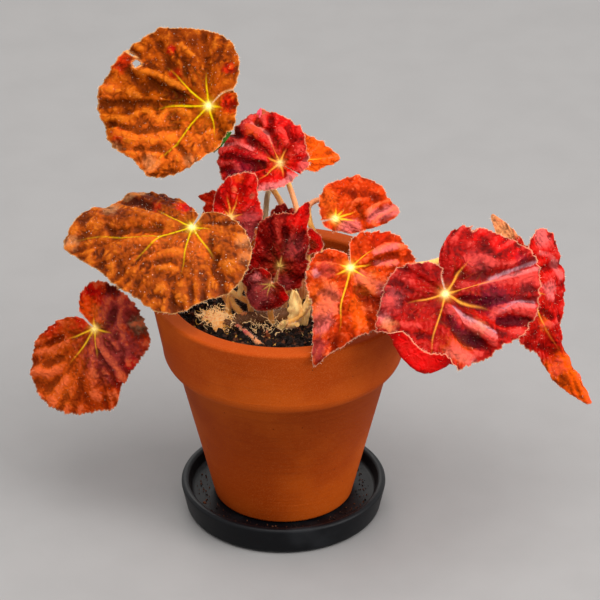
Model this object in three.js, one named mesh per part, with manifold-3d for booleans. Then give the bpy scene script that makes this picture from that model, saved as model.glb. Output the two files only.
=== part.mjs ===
// A potted begonia: a rhizomatous plant with hairy, puckered leaves, in a clay pot on a round saucer.
// Millimetres, +Z up. The origin is the centre of the saucer's underside, and the front is -Y.
import * as THREE from 'three';
import { mergeVertices } from 'three/addons/utils/BufferGeometryUtils.js';
import Module from 'manifold-3d';

const wasm = await Module();
wasm.setup();

// ---- driving dimensions -------------------------------------------------------------------------
const SEAT_GAP = 0.3;              // clear distance between two pieces that touch

const SAUCER_TOP_RADIUS = 51.3;
const SAUCER_FOOT_RADIUS = 46.5;
const SAUCER_HEIGHT = 15.5;
const SAUCER_FLOOR = 9.1;          // height of the floor that the pot stands on
const SAUCER_WALL = 4;
const SAUCER_EDGE = 1.8;           // rounding of the wall's top edges and of the corner inside

const POT_HEIGHT = 114.2;
const POT_RIM_RADIUS = 65;
const POT_BAND_RADIUS = 59.6;      // outside of the rim band, where its lower rounding ends
const POT_BAND_ROUNDING = 8.5;     // height of that rounding
const POT_BAND_HEIGHT = 38.5;
const POT_BODY_RADIUS = 52.9;      // outside of the body, just under the band
const POT_FOOT_RADIUS = 34.8;
const POT_RIM_WALL = 9.4;
const POT_BODY_WALL = 7;
const POT_FOOT_WALL = 6;
const POT_EDGE = 1.8;              // rounding of the rim and of the foot
const POT_FLOOR_THICKNESS = 9;
const DRAIN_HOLE_RADIUS = 6.5;
const ROUND_SEGMENTS = 48;
const FLAT_ALLOWANCE = 0.2;        // how far the flats of a turned wall may come in

const SOIL_DEPTH_BELOW_RIM = 12.5;
const SOIL_RINGS = 8;
const SOIL_SECTORS = 30;
const SOIL_RELIEF = 1.1;           // how far the lumps stand out of the soil's surface
const SOIL_LUMP = 1.7;             // half the width of a lump

const BLADE_THICKNESS = 0.7;
const TOOTH_DEPTH = 0.025;         // share of the reach by which the margin goes in and out
const BLADE_RINGS = [0.24, 0.5, 0.78, 1];
const PETIOLE_RADIUS = 1.3;
const PETIOLE_SIDES = 6;
const PETIOLE_STEPS = 10;
const PETIOLE_SQUARE_END = 2.5;    // length of the last stretch, which is square to the blade
const PETIOLE_SEAT = 0.35;         // clear distance between the petiole's end and the blade
const RHIZOME_RADIUS = 5;
const RHIZOME_SIDES = 8;
const RHIZOME_STEPS = 6;
const KNOT_RADIUS = 5.6;
const KNOT_ROWS = 5;
const STUB_RADIUS = 1.5;
const STUB_SIDES = 5;
const STUB_STEPS = 4;

const POT_FOOT = SAUCER_FLOOR + SEAT_GAP;
const POT_TOP = POT_FOOT + POT_HEIGHT;
const POT_FLOOR = POT_FOOT + POT_FLOOR_THICKNESS;
const SOIL_TOP = POT_TOP - SOIL_DEPTH_BELOW_RIM;

// ---- materials ----------------------------------------------------------------------------------
const finish = (color, roughness) => new THREE.MeshStandardMaterial({ color, roughness, metalness: 0 });
const CHARCOAL = finish(0x23262b, 0.55);
const TERRACOTTA = finish(0xb5541c, 0.75);
const SOIL = finish(0x1d140d, 0.95);
const STEM = finish(0xa8763c, 0.7);
const AMBER = finish(0xc4620f, 0.5);
const ORANGE_RED = finish(0xd33c12, 0.5);
const CRIMSON = finish(0xa8101c, 0.5);
const MAROON = finish(0x5a0a10, 0.5);

// ---- the leaves ---------------------------------------------------------------------------------
// Each blade spreads from its star, where the petiole joins it. The face looks along `normal`, and the
// midrib runs along `tip`. A row of the outline is [angle from the midrib in degrees, reach, lift]: how
// far the margin is from the star, and how far it stands off the blade's plane. Main veins lie in
// valleys at the angles in `veins`, and the tissue between them rises by `pleat`. `slit` bends the cut
// between the two lobes by so many degrees. `curl` rolls a stretch of the margin over: its middle and
// half width in degrees, the share of the reach where it starts, its turn in degrees, and the share of
// the rolled strip that bends. `sectors` and `rings` divide the blade, at shares of the reach.
// `route` is the petiole's way from the soil to the star.
const LEAVES = [
  {
    name: 'top_left', material: AMBER, sectors: 36, slit: 12, pleat: 2.2,
    star: [-36, 15, 217], normal: [-0.10, -0.72, 0.69], tip: [-1, 0, -0.13],
    outline: [
      [-152, 14, -1], [-136, 22, -3], [-124, 29, -4], [-112, 35, -4], [-95, 39, -4], [-80, 42, -4],
      [-62, 48, -4], [-53, 49, -4], [-43, 51, -5], [-20, 55, -7], [-13, 56, -8], [2, 52, -8],
      [14, 51, -6], [28, 45, -4], [46, 44, -3], [57, 38, -3], [80, 25, -2], [98, 21, -2],
      [112, 17, -1], [129, 17, 0], [159, 14, 1], [189, 15, 2], [204, 14, 2],
    ],
    veins: [-92, -48, -25, -5, 42, 98, 162],
    route: [
      [4, 11, 107], [4, 17, 138], [0, 20, 158], [-5, 26, 165], [-14, 35, 171], [-23, 40, 177],
      [-30, 41, 187], [-34, 35, 202], [-35.5, 24, 210],
    ],
  },
  {
    name: 'mid_left', material: AMBER, sectors: 36, slit: 0, pleat: 2,
    star: [-44, -12, 165], normal: [-0.15, -0.45, 0.88], tip: [-0.98, 0, -0.17],
    outline: [
      [-118, 7, -1], [-95, 12, -2], [-78, 19, -4], [-60, 28, -4], [-50, 35, -4], [-42, 41, -3],
      [-34, 43, -4], [-27, 48, -4], [-22, 56, -4], [-12, 62, -6], [-5, 65, -8], [3, 58, -8],
      [14, 50, -8], [28, 46, -8], [45, 44, -8], [62, 46, -8], [77, 45, -7], [92, 41, -6],
      [112, 40, -6], [135, 36, -4], [150, 32, -3], [166, 26, -1], [182, 20, 0], [200, 15, 1],
      [222, 8, 2],
    ],
    veins: [-80, -36, -2, 26, 71, 114, 158],
    route: [[-15, -8, 107], [-18, -6, 128], [-30, -4, 146], [-39, -6, 155], [-43, -9, 159.5]],
  },
  {
    name: 'lower_left', material: ORANGE_RED, sectors: 36, slit: 0, pleat: 2,
    star: [-93, -5, 104], normal: [-0.35, -0.85, 0.40], tip: [-0.12, -0.38, -0.92],
    outline: [
      [-120, 7, -1], [-101, 16, -2], [-85, 24, -3], [-70, 33, -3], [-57, 39, -4], [-40, 45, -4],
      [-25, 47, -4], [-10, 45, -4], [9, 41, -5], [20, 40, -6], [28, 33, -6], [38, 29, -6],
      [66, 27, -6], [83, 28, -6], [100, 26, -5], [119, 24, -5], [145, 23, -3], [172, 24, 0],
      [190, 23, 1], [208, 18, 2], [228, 11, 1],
    ],
    veins: [-62, -27, 15, 50, 85, 135, 190],
    route: [[-22, 2, 106], [-34, 2, 124], [-55, 2, 131], [-76, 3, 127], [-88, 4, 114], [-91, 1, 104.5]],
  },
  {
    name: 'upper_centre', material: CRIMSON, sectors: 32, slit: 0, pleat: 3,
    star: [-1.5, 20, 183], normal: [-0.15, -0.70, 0.70], tip: [-0.89, 0.40, 0.21],
    outline: [
      [-174, 11, -1], [-160, 13, -1], [-135, 13, -2], [-115, 16, -3], [-98, 20, -3], [-78, 23, -4],
      [-62, 26, -4], [-42, 31, -5], [-28, 30, -5], [0, 31, -5], [25, 31, -5], [35, 30, -4],
      [50, 26, -3], [79, 17, 0], [96, 13, 1], [134, 10, 1], [160, 11, 1],
    ],
    veins: [-140, -86, -41, 1, 30, 62, 131],
    route: [[9, 6, 107], [9, 9, 140], [6.5, 14, 161], [2, 21, 173], [-0.6, 24, 178.5]],
  },
  {
    name: 'upper_wedge', material: ORANGE_RED, sectors: 20, slit: 0, pleat: 1,
    star: [8, 32, 178], normal: [0.20, -0.60, 0.75], tip: [0.97, 0.25, -0.05],
    outline: [
      [-150, 7, 0], [-100, 6, 0], [-56, 7, 0], [-32, 11, -1], [-14, 14, -2], [-6, 19, -2],
      [2, 21, -2], [17, 18, -1], [45, 15, 0], [94, 15, 0], [120, 13, 0], [150, 11, -1], [195, 8, -1],
    ],
    veins: [-90, -30, 2, 55, 105, 150],
    route: [
      [-9, 5, 107], [-10, 13, 140], [-8.5, 22, 155], [-7, 31, 162], [-1, 38.5, 167.5],
      [5, 38.5, 171.5],
    ],
  },
  {
    name: 'small_left', material: CRIMSON, sectors: 26, slit: 0, pleat: 2,
    star: [-25.5, 1, 163], normal: [0.10, -0.93, 0.35], tip: [0.12, 0.36, 0.92],
    outline: [
      [-165, 12, -1], [-135, 16, -2], [-108, 14, -3], [-84, 16, -3], [-60, 16, -3], [-41, 18, -4],
      [-25, 24, -4], [-8, 22, -5], [10, 19, -5], [26, 16, -4], [42, 13, -4], [62, 10, -3],
      [91, 10, -2], [119, 13, -2], [150, 13, -2], [178, 11, -1],
    ],
    veins: [-130, -67, -30, -12, 12, 47, 110],
    route: [[-13, 4, 107], [-16, 7, 130], [-21, 11, 147], [-25, 11, 158]],
  },
  {
    name: 'centre', material: MAROON, sectors: 30, slit: 0, pleat: 2,
    star: [-1.5, -10, 142], normal: [0.05, -0.93, 0.37], tip: [0.34, 0.36, 0.87],
    outline: [
      [-170, 10, 0], [-147, 12, -1], [-128, 14, -2], [-88, 13.5, -3], [-60, 14, -3], [-43, 15, -3],
      [-30, 19, -3], [-16, 23, -4], [-5, 34, -6], [4, 27, -5], [13, 26, -4], [30, 25, -4],
      [48, 22, -4], [60, 18, -4], [72, 16, -3], [89, 15, -3], [105, 16, -3], [123, 18, -2],
      [145, 17, -1], [175, 12, 0],
    ],
    veins: [-119, -58, -8, 11, 54, 98, 140],
    route: [[0, -3, 107], [1, 0, 126], [-1.5, -2, 138]],
  },
  {
    name: 'small_front', material: MAROON, sectors: 20, slit: 0, pleat: 1,
    star: [-6, -24, 140], normal: [-0.10, -0.75, 0.65], tip: [-0.29, -0.60, -0.74],
    outline: [
      [-172, 4, 0], [-150, 7, -1], [-128, 10, -1], [-105, 12, -2], [-85, 14, -2], [-65, 12, -2],
      [-49, 13, -3], [-11, 14, -3], [23, 12, -3], [50, 11.5, -3], [68, 11, -2], [82, 8, -1],
      [100, 5, 0], [125, 3, 0],
    ],
    veins: [-108, -72, -35, 1, 38, 70],
    route: [[-5, -13, 107], [-6.5, -18, 126], [-6, -20, 135]],
  },
  {
    name: 'right_centre', material: ORANGE_RED, sectors: 28, slit: 0, pleat: 1.6,
    star: [25.5, 10, 157.5], normal: [0.15, -0.60, 0.79], tip: [0.97, 0.25, 0.01],
    outline: [
      [-164, 6, -1], [-119, 6, -2], [-63, 7.5, -3], [-46, 11, -3], [-27, 16, -3], [-17, 21, -3],
      [-9, 27, -3], [0, 33, -4], [13, 31, -4], [38, 31, -4], [52, 28, -4], [69, 23, -3],
      [88, 19, -2], [110, 14, -1], [141, 8.5, 0], [156, 7, 0],
    ],
    veins: [-100, -40, -10, 15, 40, 73, 120],
    route: [
      [15, 8, 107], [18, 14, 138], [13, 18, 152], [13, 22, 158.5], [18.5, 24.5, 160], [23, 21, 156],
      [24.6, 15, 153],
    ],
  },
  {
    name: 'front_right', material: ORANGE_RED, sectors: 34, slit: 0, pleat: 1.8,
    star: [32.5, -38, 157], normal: [0.05, -0.68, 0.73], tip: [-0.33, -0.70, -0.63],
    outline: [
      [-154, 6, -1], [-134, 9, -1], [-112, 14, -1], [-93, 18, -1], [-72, 20, -1], [-50, 23, -1],
      [-36, 24, -2], [-19, 29, -4], [-7, 40, -7], [0, 50, -9], [5, 43, -8], [12, 39, -7],
      [24, 34, -5], [48, 32, -5], [83, 28, -5], [105, 28, -4], [121, 32, -3], [130, 30, -3],
      [140, 29, -2], [150, 28, -2], [165, 22, 0], [185, 18, 0], [202, 12, 0],
    ],
    veins: [-85, -42, 8, 40, 75, 118, 150],
    route: [[14, -9, 107], [20, -12, 130], [27, -19, 143], [31.5, -29, 151.5]],
  },
  {
    name: 'far_right', material: CRIMSON, sectors: 38, slit: 10, pleat: 3.5,
    star: [78, -46, 147], normal: [0.15, -0.75, 0.65], tip: [-0.16, -0.66, -0.73],
    outline: [
      [-166, 12, 1], [-148, 16, 1], [-127, 20, 0], [-108, 26, -1], [-90, 29, -2], [-70, 32, -2],
      [-58, 36, -2], [-42, 44, -1], [-22, 51, 0], [-5, 52, 0], [12, 47, 0], [30, 38, -2],
      [44, 37, -3], [58, 37, -3], [72, 42, -4], [84, 45, -6], [110, 48, -6], [121, 50, -6],
      [140, 44, -6], [155, 40, -6], [170, 36, -5], [182, 32, -4], [192, 23, -2],
    ],
    veins: [-110, -63, -4, 40, 78, 115, 152],
    curl: { centre: -16, half: 40, start: 0.74, turn: 165, bend: 0.4 },
    rings: [0.22, 0.48, 0.74, 0.79, 0.844, 1],
    route: [[20, -6, 107], [30, -7, 128], [46, -10, 139], [62, -20, 144], [74, -35, 143]],
  },
  {
    name: 'edge_right', material: CRIMSON, sectors: 34, slit: 0, pleat: 1.8,
    star: [121, -8, 127.5], normal: [0.80, -0.50, 0.33], tip: [0.36, -0.04, -0.93],
    outline: [
      [-195, 17, -2], [-160, 16, -3], [-125, 15, -4], [-84, 16, -5], [-56, 21, -5], [-40, 26, -5],
      [-25, 30, -5], [-12, 34, -6], [-3, 45, -8], [2, 58, -8], [6, 74, 1], [10, 66, -1],
      [13, 50, -4], [20, 37, -3], [35, 33, -2], [65, 32, -1], [90, 33, -1], [108, 36, -2],
      [120, 34, -3], [132, 28, -2], [145, 20, -1],
    ],
    veins: [-150, -90, -45, 3, 45, 89, 120],
    route: [[22, 4, 107], [34, 6, 128], [57, 8, 137], [80, 8, 139], [103, 3, 134], [114, -3, 127]],
  },
  {
    name: 'rolled_right', material: CRIMSON, sectors: 18, slit: 0, pleat: 0.6,
    star: [116.5, 6, 141], normal: [-0.75, -0.45, 0.45], tip: [-0.43, 0.89, 0.17],
    outline: [
      [-165, 4, -1], [-100, 5, -1], [-36, 7, -2], [-14, 15, -2], [-4, 26, -2], [0, 33, -1],
      [5, 25, 1], [20, 12, 2], [60, 7, 1], [120, 5, 0], [165, 4, 0],
    ],
    veins: [-60, 0, 60],
    route: [
      [18, 12, 107], [34, 16, 128], [60, 19, 138], [88, 20, 138], [108, 17, 133], [118, 11, 136],
    ],
  },
  {
    name: 'bud_right', material: CRIMSON, sectors: 16, slit: 0, pleat: 0.5,
    star: [13, 6, 144], normal: [0.30, -0.80, 0.50], tip: [0.79, 0.51, 0.34],
    outline: [
      [-150, 4, 0], [-77, 4.5, 0], [-49, 6.5, 0], [-26, 7.5, -1], [0, 8, -1], [21, 8, -1],
      [45, 9, -1], [67, 8, 0], [99, 6, 0], [160, 4, 0],
    ],
    veins: [-50, -5, 45, 95],
    route: [[12, 1, 107], [12.5, 6, 128], [12, 10, 138]],
  },
  {
    name: 'behind_centre', material: MAROON, sectors: 16, slit: 0, pleat: 1,
    star: [-1, 6, 155.5], normal: [0, -0.80, 0.60], tip: [0, 0.60, 0.80],
    outline: [
      [-163, 5, 0], [-100, 6, 0], [-57, 9, -1], [-25, 10.5, -1], [3, 11, -2], [36, 8.5, -1],
      [72, 7, -1], [131, 5, 0], [165, 4, 0],
    ],
    veins: [-60, -20, 20, 70],
    route: [[-3, 5, 107], [-3, 9, 132], [-2, 11, 148]],
  },
  {
    name: 'sliver_left', material: ORANGE_RED, sectors: 20, slit: 0, pleat: 1,
    star: [-26.5, 22, 157.5], normal: [-0.20, -0.65, 0.70], tip: [-0.89, 0.44, 0.15],
    outline: [
      [-174, 6, 0], [-102, 7, 0], [-52, 10, 0], [-21, 12, 0], [-6, 15, 0], [2, 17, 0], [10, 13, 0],
      [22, 13, 0], [38, 14, 0], [60, 12, 0], [90, 10, 0], [130, 8, 0], [170, 6, 0],
    ],
    veins: [-90, -30, 0, 30, 80],
    route: [[-16, 10, 107], [-18, 19, 132], [-22, 26, 146], [-25, 26, 152]],
  },
];

// ---- the rhizome --------------------------------------------------------------------------------
// Creeping stems that lie half in the soil, and the stubs of old leaf stalks, as routes of points.
const RHIZOME_STEMS = [
  [[-30, -16, 111], [-16, -11, 113], [0, -10, 114], [14, -6, 113], [26, 2, 111]],
  [[-4, -10, 113], [-5, 3, 113], [1, 14, 112], [12, 19, 110]],
];
const RHIZOME_STUBS = [
  [[-22, -13, 114], [-27, -20, 118], [-26, -26, 125]],
  [[-14, -12, 115], [-12, -22, 120], [-6, -32, 116]],
  [[-10, -11, 115], [-16, -20, 121], [-26, -27, 127]],
  [[-24, -14, 113], [-20, -24, 116], [-11, -33, 116]],
  [[2, -10, 116], [2, -20, 118], [7, -27, 124]],
  [[8, -9, 116], [11, -18, 121], [10, -25, 127]],
  [[18, -4, 114], [16, -15, 118], [8, -26, 116]],
  [[24, 1, 112], [28, 8, 118], [28, 14, 126]],
];

// ---- small tools --------------------------------------------------------------------------------
const rad = THREE.MathUtils.degToRad;
const vector = (point) => new THREE.Vector3(...point);

/** A geometry's closed surface as a solid that can be joined and cut. */
function toSolid(geometry) {
  const bare = geometry.clone();
  bare.deleteAttribute('normal');
  bare.deleteAttribute('uv');
  const merged = mergeVertices(bare, 1e-3);
  return new wasm.Manifold(new wasm.Mesh({
    numProp: 3,
    vertProperties: new Float32Array(merged.attributes.position.array),
    triVerts: new Uint32Array(merged.index.array),
  }));
}

/** The surface of a solid as a geometry. */
function toGeometry(solid) {
  const { vertProperties, triVerts } = solid.getMesh();
  const geometry = new THREE.BufferGeometry();
  geometry.setAttribute('position', new THREE.BufferAttribute(vertProperties, 3));
  geometry.setIndex(new THREE.BufferAttribute(triVerts, 1));
  return geometry;
}

/** A round tube along a smooth curve through the points. */
function tube(points, radius, sides, steps) {
  const section = new THREE.Shape();
  for (let i = 0; i < sides; i++) {
    const angle = (i / sides) * 2 * Math.PI;
    section[i ? 'lineTo' : 'moveTo'](radius * Math.cos(angle), radius * Math.sin(angle));
  }
  section.closePath();
  const extrudePath = new THREE.CatmullRomCurve3(points, false, 'centripetal');
  return new THREE.ExtrudeGeometry(section, { steps, extrudePath, bevelEnabled: false });
}

/** A route that goes on a little further, straight, at both ends. */
function lengthened(points, extra) {
  const beyond = (end, inner) => end.clone().sub(inner).setLength(extra).add(end);
  return [beyond(points[0], points[1]), ...points.slice(1, -1), beyond(points.at(-1), points.at(-2))];
}

/** A turned piece about the Z axis, from a profile of [radius, height] rows. */
function turned(profile) {
  const points = profile.map(([radius, height]) => new THREE.Vector2(radius, height));
  return new THREE.LatheGeometry(points, ROUND_SEGMENTS).rotateX(Math.PI / 2);
}

/** A rounded edge in a profile: an arc about a point, between two angles in degrees. */
function arc([radius, height], across, up, from, to, steps = 2) {
  return Array.from({ length: steps + 1 }, (_, i) => {
    const angle = rad(from + ((to - from) * i) / steps);
    return [radius + across * Math.cos(angle), height + up * Math.sin(angle)];
  });
}

/** The largest of the separate lumps of a solid. */
function largest(solid) {
  return solid.decompose().reduce((best, piece) => (piece.volume() > best.volume() ? piece : best));
}

/** A smooth line through rows of [x, y...]: the value in a column at x. */
function smoothValue(rows, column, x) {
  const last = rows.length - 1;
  let i = 0;
  while (i < last - 1 && x > rows[i + 1][0]) {
    i += 1;
  }
  const slope = (k) => {
    const rise = (j) => (rows[j + 1][column] - rows[j][column]) / (rows[j + 1][0] - rows[j][0]);
    if (k === 0) return rise(0);
    if (k === last) return rise(last - 1);
    const before = rows[k][0] - rows[k - 1][0];
    const after = rows[k + 1][0] - rows[k][0];
    return (rise(k - 1) * after + rise(k) * before) / (before + after);
  };
  const width = rows[i + 1][0] - rows[i][0];
  const s = (x - rows[i][0]) / width;
  return rows[i][column] * (1 + 2 * s) * (1 - s) ** 2 + slope(i) * width * s * (1 - s) ** 2
    + rows[i + 1][column] * s * s * (3 - 2 * s) + slope(i + 1) * width * s * s * (s - 1);
}

// ---- leaf blade ---------------------------------------------------------------------------------
const CUT_SPREAD = 35;             // degrees over which the bend of the cut dies out
const OUTER_LOBE = 40;             // degrees that the pleat beyond the last vein takes
const PLEAT_FALL = 0.8;            // the pleat's height runs through this share of a half wave
const FULL_PLEAT_REACH = 0.65;     // share of the leaf's greatest reach from where the pleat is whole
const FULL_PLEAT_SHARE = 0.4;      // share of the way to the margin by which it has grown to its height
const LEAST_TURN = 1e-3;           // radians under which a margin counts as flat

/** The blade's own axes: its star, face normal, midrib direction and side direction. */
function bladeAxes(leaf) {
  const normal = vector(leaf.normal).normalize();
  const along = vector(leaf.tip);
  along.addScaledVector(normal, -along.dot(normal)).normalize();
  return { star: vector(leaf.star), normal, along, side: new THREE.Vector3().crossVectors(normal, along) };
}

/** How far the tissue between two main veins rises above them. */
function pleatRise(leaf, angle, share, reach) {
  const walls = [leaf.veins[0] - OUTER_LOBE, ...leaf.veins, leaf.veins.at(-1) + OUTER_LOBE];
  let i = 0;
  while (i < walls.length - 2 && angle > walls[i + 1]) {
    i += 1;
  }
  const phase = THREE.MathUtils.clamp((angle - walls[i]) / (walls[i + 1] - walls[i]), 0, 1);
  const greatest = Math.max(...leaf.outline.map(([, outlineReach]) => outlineReach));
  const height = leaf.pleat * Math.min(1, reach / (FULL_PLEAT_REACH * greatest));
  const grown = Math.min(1, share / FULL_PLEAT_SHARE) * Math.sin(Math.PI * PLEAT_FALL * share);
  return height * Math.sin(Math.PI * phase) ** 2 * grown;
}

/** Distance out and height off the plane on a margin that rolls over, or null away from the roll. */
function rolled(leaf, angle, share, reach, lift) {
  if (!leaf.curl || share <= leaf.curl.start) return null;
  const { centre, half, start, turn, bend } = leaf.curl;
  const near = THREE.MathUtils.clamp(1 - ((angle - centre) / half) ** 2, 0, 1);
  const whole = rad(turn) * near * near * (3 - 2 * near);
  if (whole < LEAST_TURN) return null;
  const slope = Math.atan2(2 * lift * start, reach);
  const strip = (1 - start) * Math.hypot(reach, 2 * lift * start);
  const s = (share - start) / (1 - start);
  const swung = whole * Math.min(s / bend, 1);
  const radius = (strip * bend) / whole;
  const straight = strip * Math.max(s - bend, 0);
  const out = radius * Math.sin(swung) + straight * Math.cos(swung);
  const over = radius * (1 - Math.cos(swung)) + straight * Math.sin(swung);
  return [
    reach * start + out * Math.cos(slope) - over * Math.sin(slope),
    lift * start ** 2 + out * Math.sin(slope) + over * Math.cos(slope),
  ];
}

/** A point of the blade's face, at an angle about the star and a share of the way to the margin. */
function bladePoint(leaf, axes, angle, share, tooth) {
  const first = leaf.outline[0][0];
  const last = leaf.outline.at(-1)[0];
  const reach = smoothValue(leaf.outline, 1, angle) * tooth;
  const lift = smoothValue(leaf.outline, 2, angle);
  const nearCut = Math.exp(-(((angle - first) / CUT_SPREAD) ** 2))
    + Math.exp(-(((angle - last) / CUT_SPREAD) ** 2));
  const bent = rad(angle + leaf.slit * nearCut * Math.sin(Math.PI * share));
  const [out, up] = rolled(leaf, angle, share, reach, lift) ?? [reach * share, lift * share ** 2];
  return axes.star.clone()
    .addScaledVector(axes.along, Math.cos(bent) * out)
    .addScaledVector(axes.side, Math.sin(bent) * out)
    .addScaledVector(axes.normal, up + pleatRise(leaf, angle, share, reach));
}

/** The blade: one toothed, pleated sheet with the same triangles on both faces. */
function blade(leaf) {
  const axes = bladeAxes(leaf);
  const rings = leaf.rings ?? BLADE_RINGS;
  const first = leaf.outline[0][0];
  const span = leaf.outline.at(-1)[0] - first;
  const columns = leaf.sectors + 1;
  const face = [axes.star.clone()];
  for (const share of rings) {
    for (let c = 0; c < columns; c++) {
      const tooth = share === 1 ? 1 + (c % 2 ? TOOTH_DEPTH : -TOOTH_DEPTH) : 1;
      face.push(bladePoint(leaf, axes, first + (span * c) / leaf.sectors, share, tooth));
    }
  }
  const at = (ring, c) => 1 + ring * columns + c;
  const triangles = [];
  for (let c = 0; c < leaf.sectors; c++) {
    triangles.push([0, at(0, c), at(0, c + 1)]);
    for (let r = 0; r < rings.length - 1; r++) {
      triangles.push([at(r, c), at(r + 1, c), at(r + 1, c + 1)]);
      triangles.push([at(r, c), at(r + 1, c + 1), at(r, c + 1)]);
    }
  }
  const sheet = new THREE.BufferGeometry().setFromPoints(face);
  sheet.setIndex(triangles.flat());
  sheet.computeVertexNormals();
  const normals = sheet.attributes.normal;
  const back = face.map((point, i) => point.clone()
    .addScaledVector(new THREE.Vector3().fromBufferAttribute(normals, i), -BLADE_THICKNESS));

  const under = face.length;
  const all = triangles.flatMap(([a, b, c]) => [a, b, c, under + a, under + c, under + b]);
  const wall = (a, b) => all.push(a, under + a, under + b, a, under + b, b);
  const outer = rings.length - 1;
  for (let c = 0; c < leaf.sectors; c++) {
    wall(at(outer, c), at(outer, c + 1));
  }
  wall(0, at(0, 0));
  wall(at(0, leaf.sectors), 0);
  for (let r = 0; r < outer; r++) {
    wall(at(r, 0), at(r + 1, 0));
    wall(at(r + 1, leaf.sectors), at(r, leaf.sectors));
  }
  const geometry = new THREE.BufferGeometry().setFromPoints([...face, ...back]);
  geometry.setIndex(all);
  return geometry;
}

// ---- petioles, rhizome, soil --------------------------------------------------------------------
/** The way of a leaf's petiole, which ends square under the star. */
function petiolePath(leaf) {
  const { star, normal } = bladeAxes(leaf);
  const end = star.clone().addScaledVector(normal, -BLADE_THICKNESS - PETIOLE_SEAT);
  return [...leaf.route.map(vector), end.clone().addScaledVector(normal, -PETIOLE_SQUARE_END), end];
}

/** The petiole, or with a clearance the hole that it stands in. */
function petiole(leaf, clearance) {
  const path = clearance ? lengthened(petiolePath(leaf), clearance) : petiolePath(leaf);
  return toSolid(tube(path, PETIOLE_RADIUS + clearance, PETIOLE_SIDES, PETIOLE_STEPS));
}

/** The rhizome: knotty creeping stems with round ends, and the stubs that grow from them. */
function rhizome(clearance) {
  const parts = [];
  for (const stem of RHIZOME_STEMS) {
    const points = stem.map(vector);
    parts.push(toSolid(tube(points, RHIZOME_RADIUS + clearance, RHIZOME_SIDES, RHIZOME_STEPS)));
    for (const point of [points[0], points[2], points.at(-1)]) {
      const knot = new THREE.SphereGeometry(KNOT_RADIUS + clearance, RHIZOME_SIDES, KNOT_ROWS);
      parts.push(toSolid(knot.translate(point.x, point.y, point.z)));
    }
  }
  for (const stub of RHIZOME_STUBS) {
    parts.push(toSolid(tube(stub.map(vector), STUB_RADIUS + clearance, STUB_SIDES, STUB_STEPS)));
  }
  return parts.reduce((whole, part) => whole.add(part));
}

/** Height of the soil's crumbly surface at a place in the pot. */
function soilHeight(x, y) {
  const [u, v] = [x / SOIL_LUMP, y / SOIL_LUMP];
  const lumps = Math.sin(u + 1.3 * Math.sin(0.7 * v)) * Math.sin(v + 1.7 * Math.sin(0.6 * u));
  const crumbs = Math.sin(3 * u + 1.5 * v) * Math.sin(3 * v - u);
  return SOIL_TOP + SOIL_RELIEF * (0.7 * lumps + 0.3 * crumbs);
}

const POT_INNER_RIM = POT_RIM_RADIUS - POT_RIM_WALL;
const POT_INNER_SHOULDER = POT_BODY_RADIUS - POT_BODY_WALL;
const POT_INNER_FOOT = POT_FOOT_RADIUS - POT_FOOT_WALL;
const POT_SHOULDER = POT_TOP - POT_BAND_HEIGHT;

/** Radius of the pot's hollow at a height. */
function hollowRadius(z) {
  return z > POT_SHOULDER
    ? THREE.MathUtils.mapLinear(z, POT_SHOULDER, POT_TOP, POT_INNER_SHOULDER, POT_INNER_RIM)
    : THREE.MathUtils.mapLinear(z, POT_FLOOR, POT_SHOULDER, POT_INNER_FOOT, POT_INNER_SHOULDER);
}

/** The soil: it fills the pot's hollow, with a lumpy top and plain holes for what stands in it. */
function soil() {
  const bottom = POT_FLOOR + SEAT_GAP;
  const levels = [bottom, POT_SHOULDER, SOIL_TOP];
  const points = [new THREE.Vector3(0, 0, bottom)];
  const ring = (radius, height) => {
    for (let s = 0; s < SOIL_SECTORS; s++) {
      const angle = (s / SOIL_SECTORS) * 2 * Math.PI;
      const [x, y] = [radius * Math.cos(angle), radius * Math.sin(angle)];
      points.push(new THREE.Vector3(x, y, height(x, y)));
    }
  };
  const fitting = (level) => hollowRadius(level) - SEAT_GAP - FLAT_ALLOWANCE;
  for (const level of levels) {
    ring(fitting(level), () => level);
  }
  const brim = fitting(SOIL_TOP);
  for (let r = SOIL_RINGS - 1; r > 0; r--) {
    ring((brim * r) / SOIL_RINGS, soilHeight);
  }
  points.push(new THREE.Vector3(0, 0, soilHeight(0, 0)));
  const triangles = [];
  const rows = levels.length + SOIL_RINGS - 1;
  for (let s = 0; s < SOIL_SECTORS; s++) {
    const next = (s + 1) % SOIL_SECTORS;
    triangles.push(0, 1 + next, 1 + s);
    for (let r = 0; r < rows - 1; r++) {
      const [low, high] = [1 + r * SOIL_SECTORS, 1 + (r + 1) * SOIL_SECTORS];
      triangles.push(low + s, low + next, high + next, low + s, high + next, high + s);
    }
    const top = 1 + (rows - 1) * SOIL_SECTORS;
    triangles.push(top + s, top + next, points.length - 1);
  }
  const geometry = new THREE.BufferGeometry().setFromPoints(points);
  geometry.setIndex(triangles);
  let body = toSolid(geometry).subtract(rhizome(SEAT_GAP));
  for (const leaf of LEAVES) {
    body = body.subtract(petiole(leaf, SEAT_GAP));
  }
  return largest(body);
}

// ---- pot and saucer -----------------------------------------------------------------------------
function saucer() {
  const innerTop = SAUCER_TOP_RADIUS - SAUCER_WALL;
  const lip = SAUCER_HEIGHT - SAUCER_EDGE;
  const corner = SAUCER_FLOOR + SAUCER_EDGE;
  return turned([
    [0, 0],
    ...arc([SAUCER_FOOT_RADIUS - SAUCER_EDGE, SAUCER_EDGE], SAUCER_EDGE, SAUCER_EDGE, -90, 0),
    ...arc([SAUCER_TOP_RADIUS - SAUCER_EDGE, lip], SAUCER_EDGE, SAUCER_EDGE, 0, 90),
    ...arc([innerTop + SAUCER_EDGE, lip], SAUCER_EDGE, SAUCER_EDGE, 90, 180),
    ...arc([innerTop - 1.5 * SAUCER_EDGE, corner], SAUCER_EDGE, SAUCER_EDGE, 0, -90),
    [0, SAUCER_FLOOR],
  ]);
}

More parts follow.
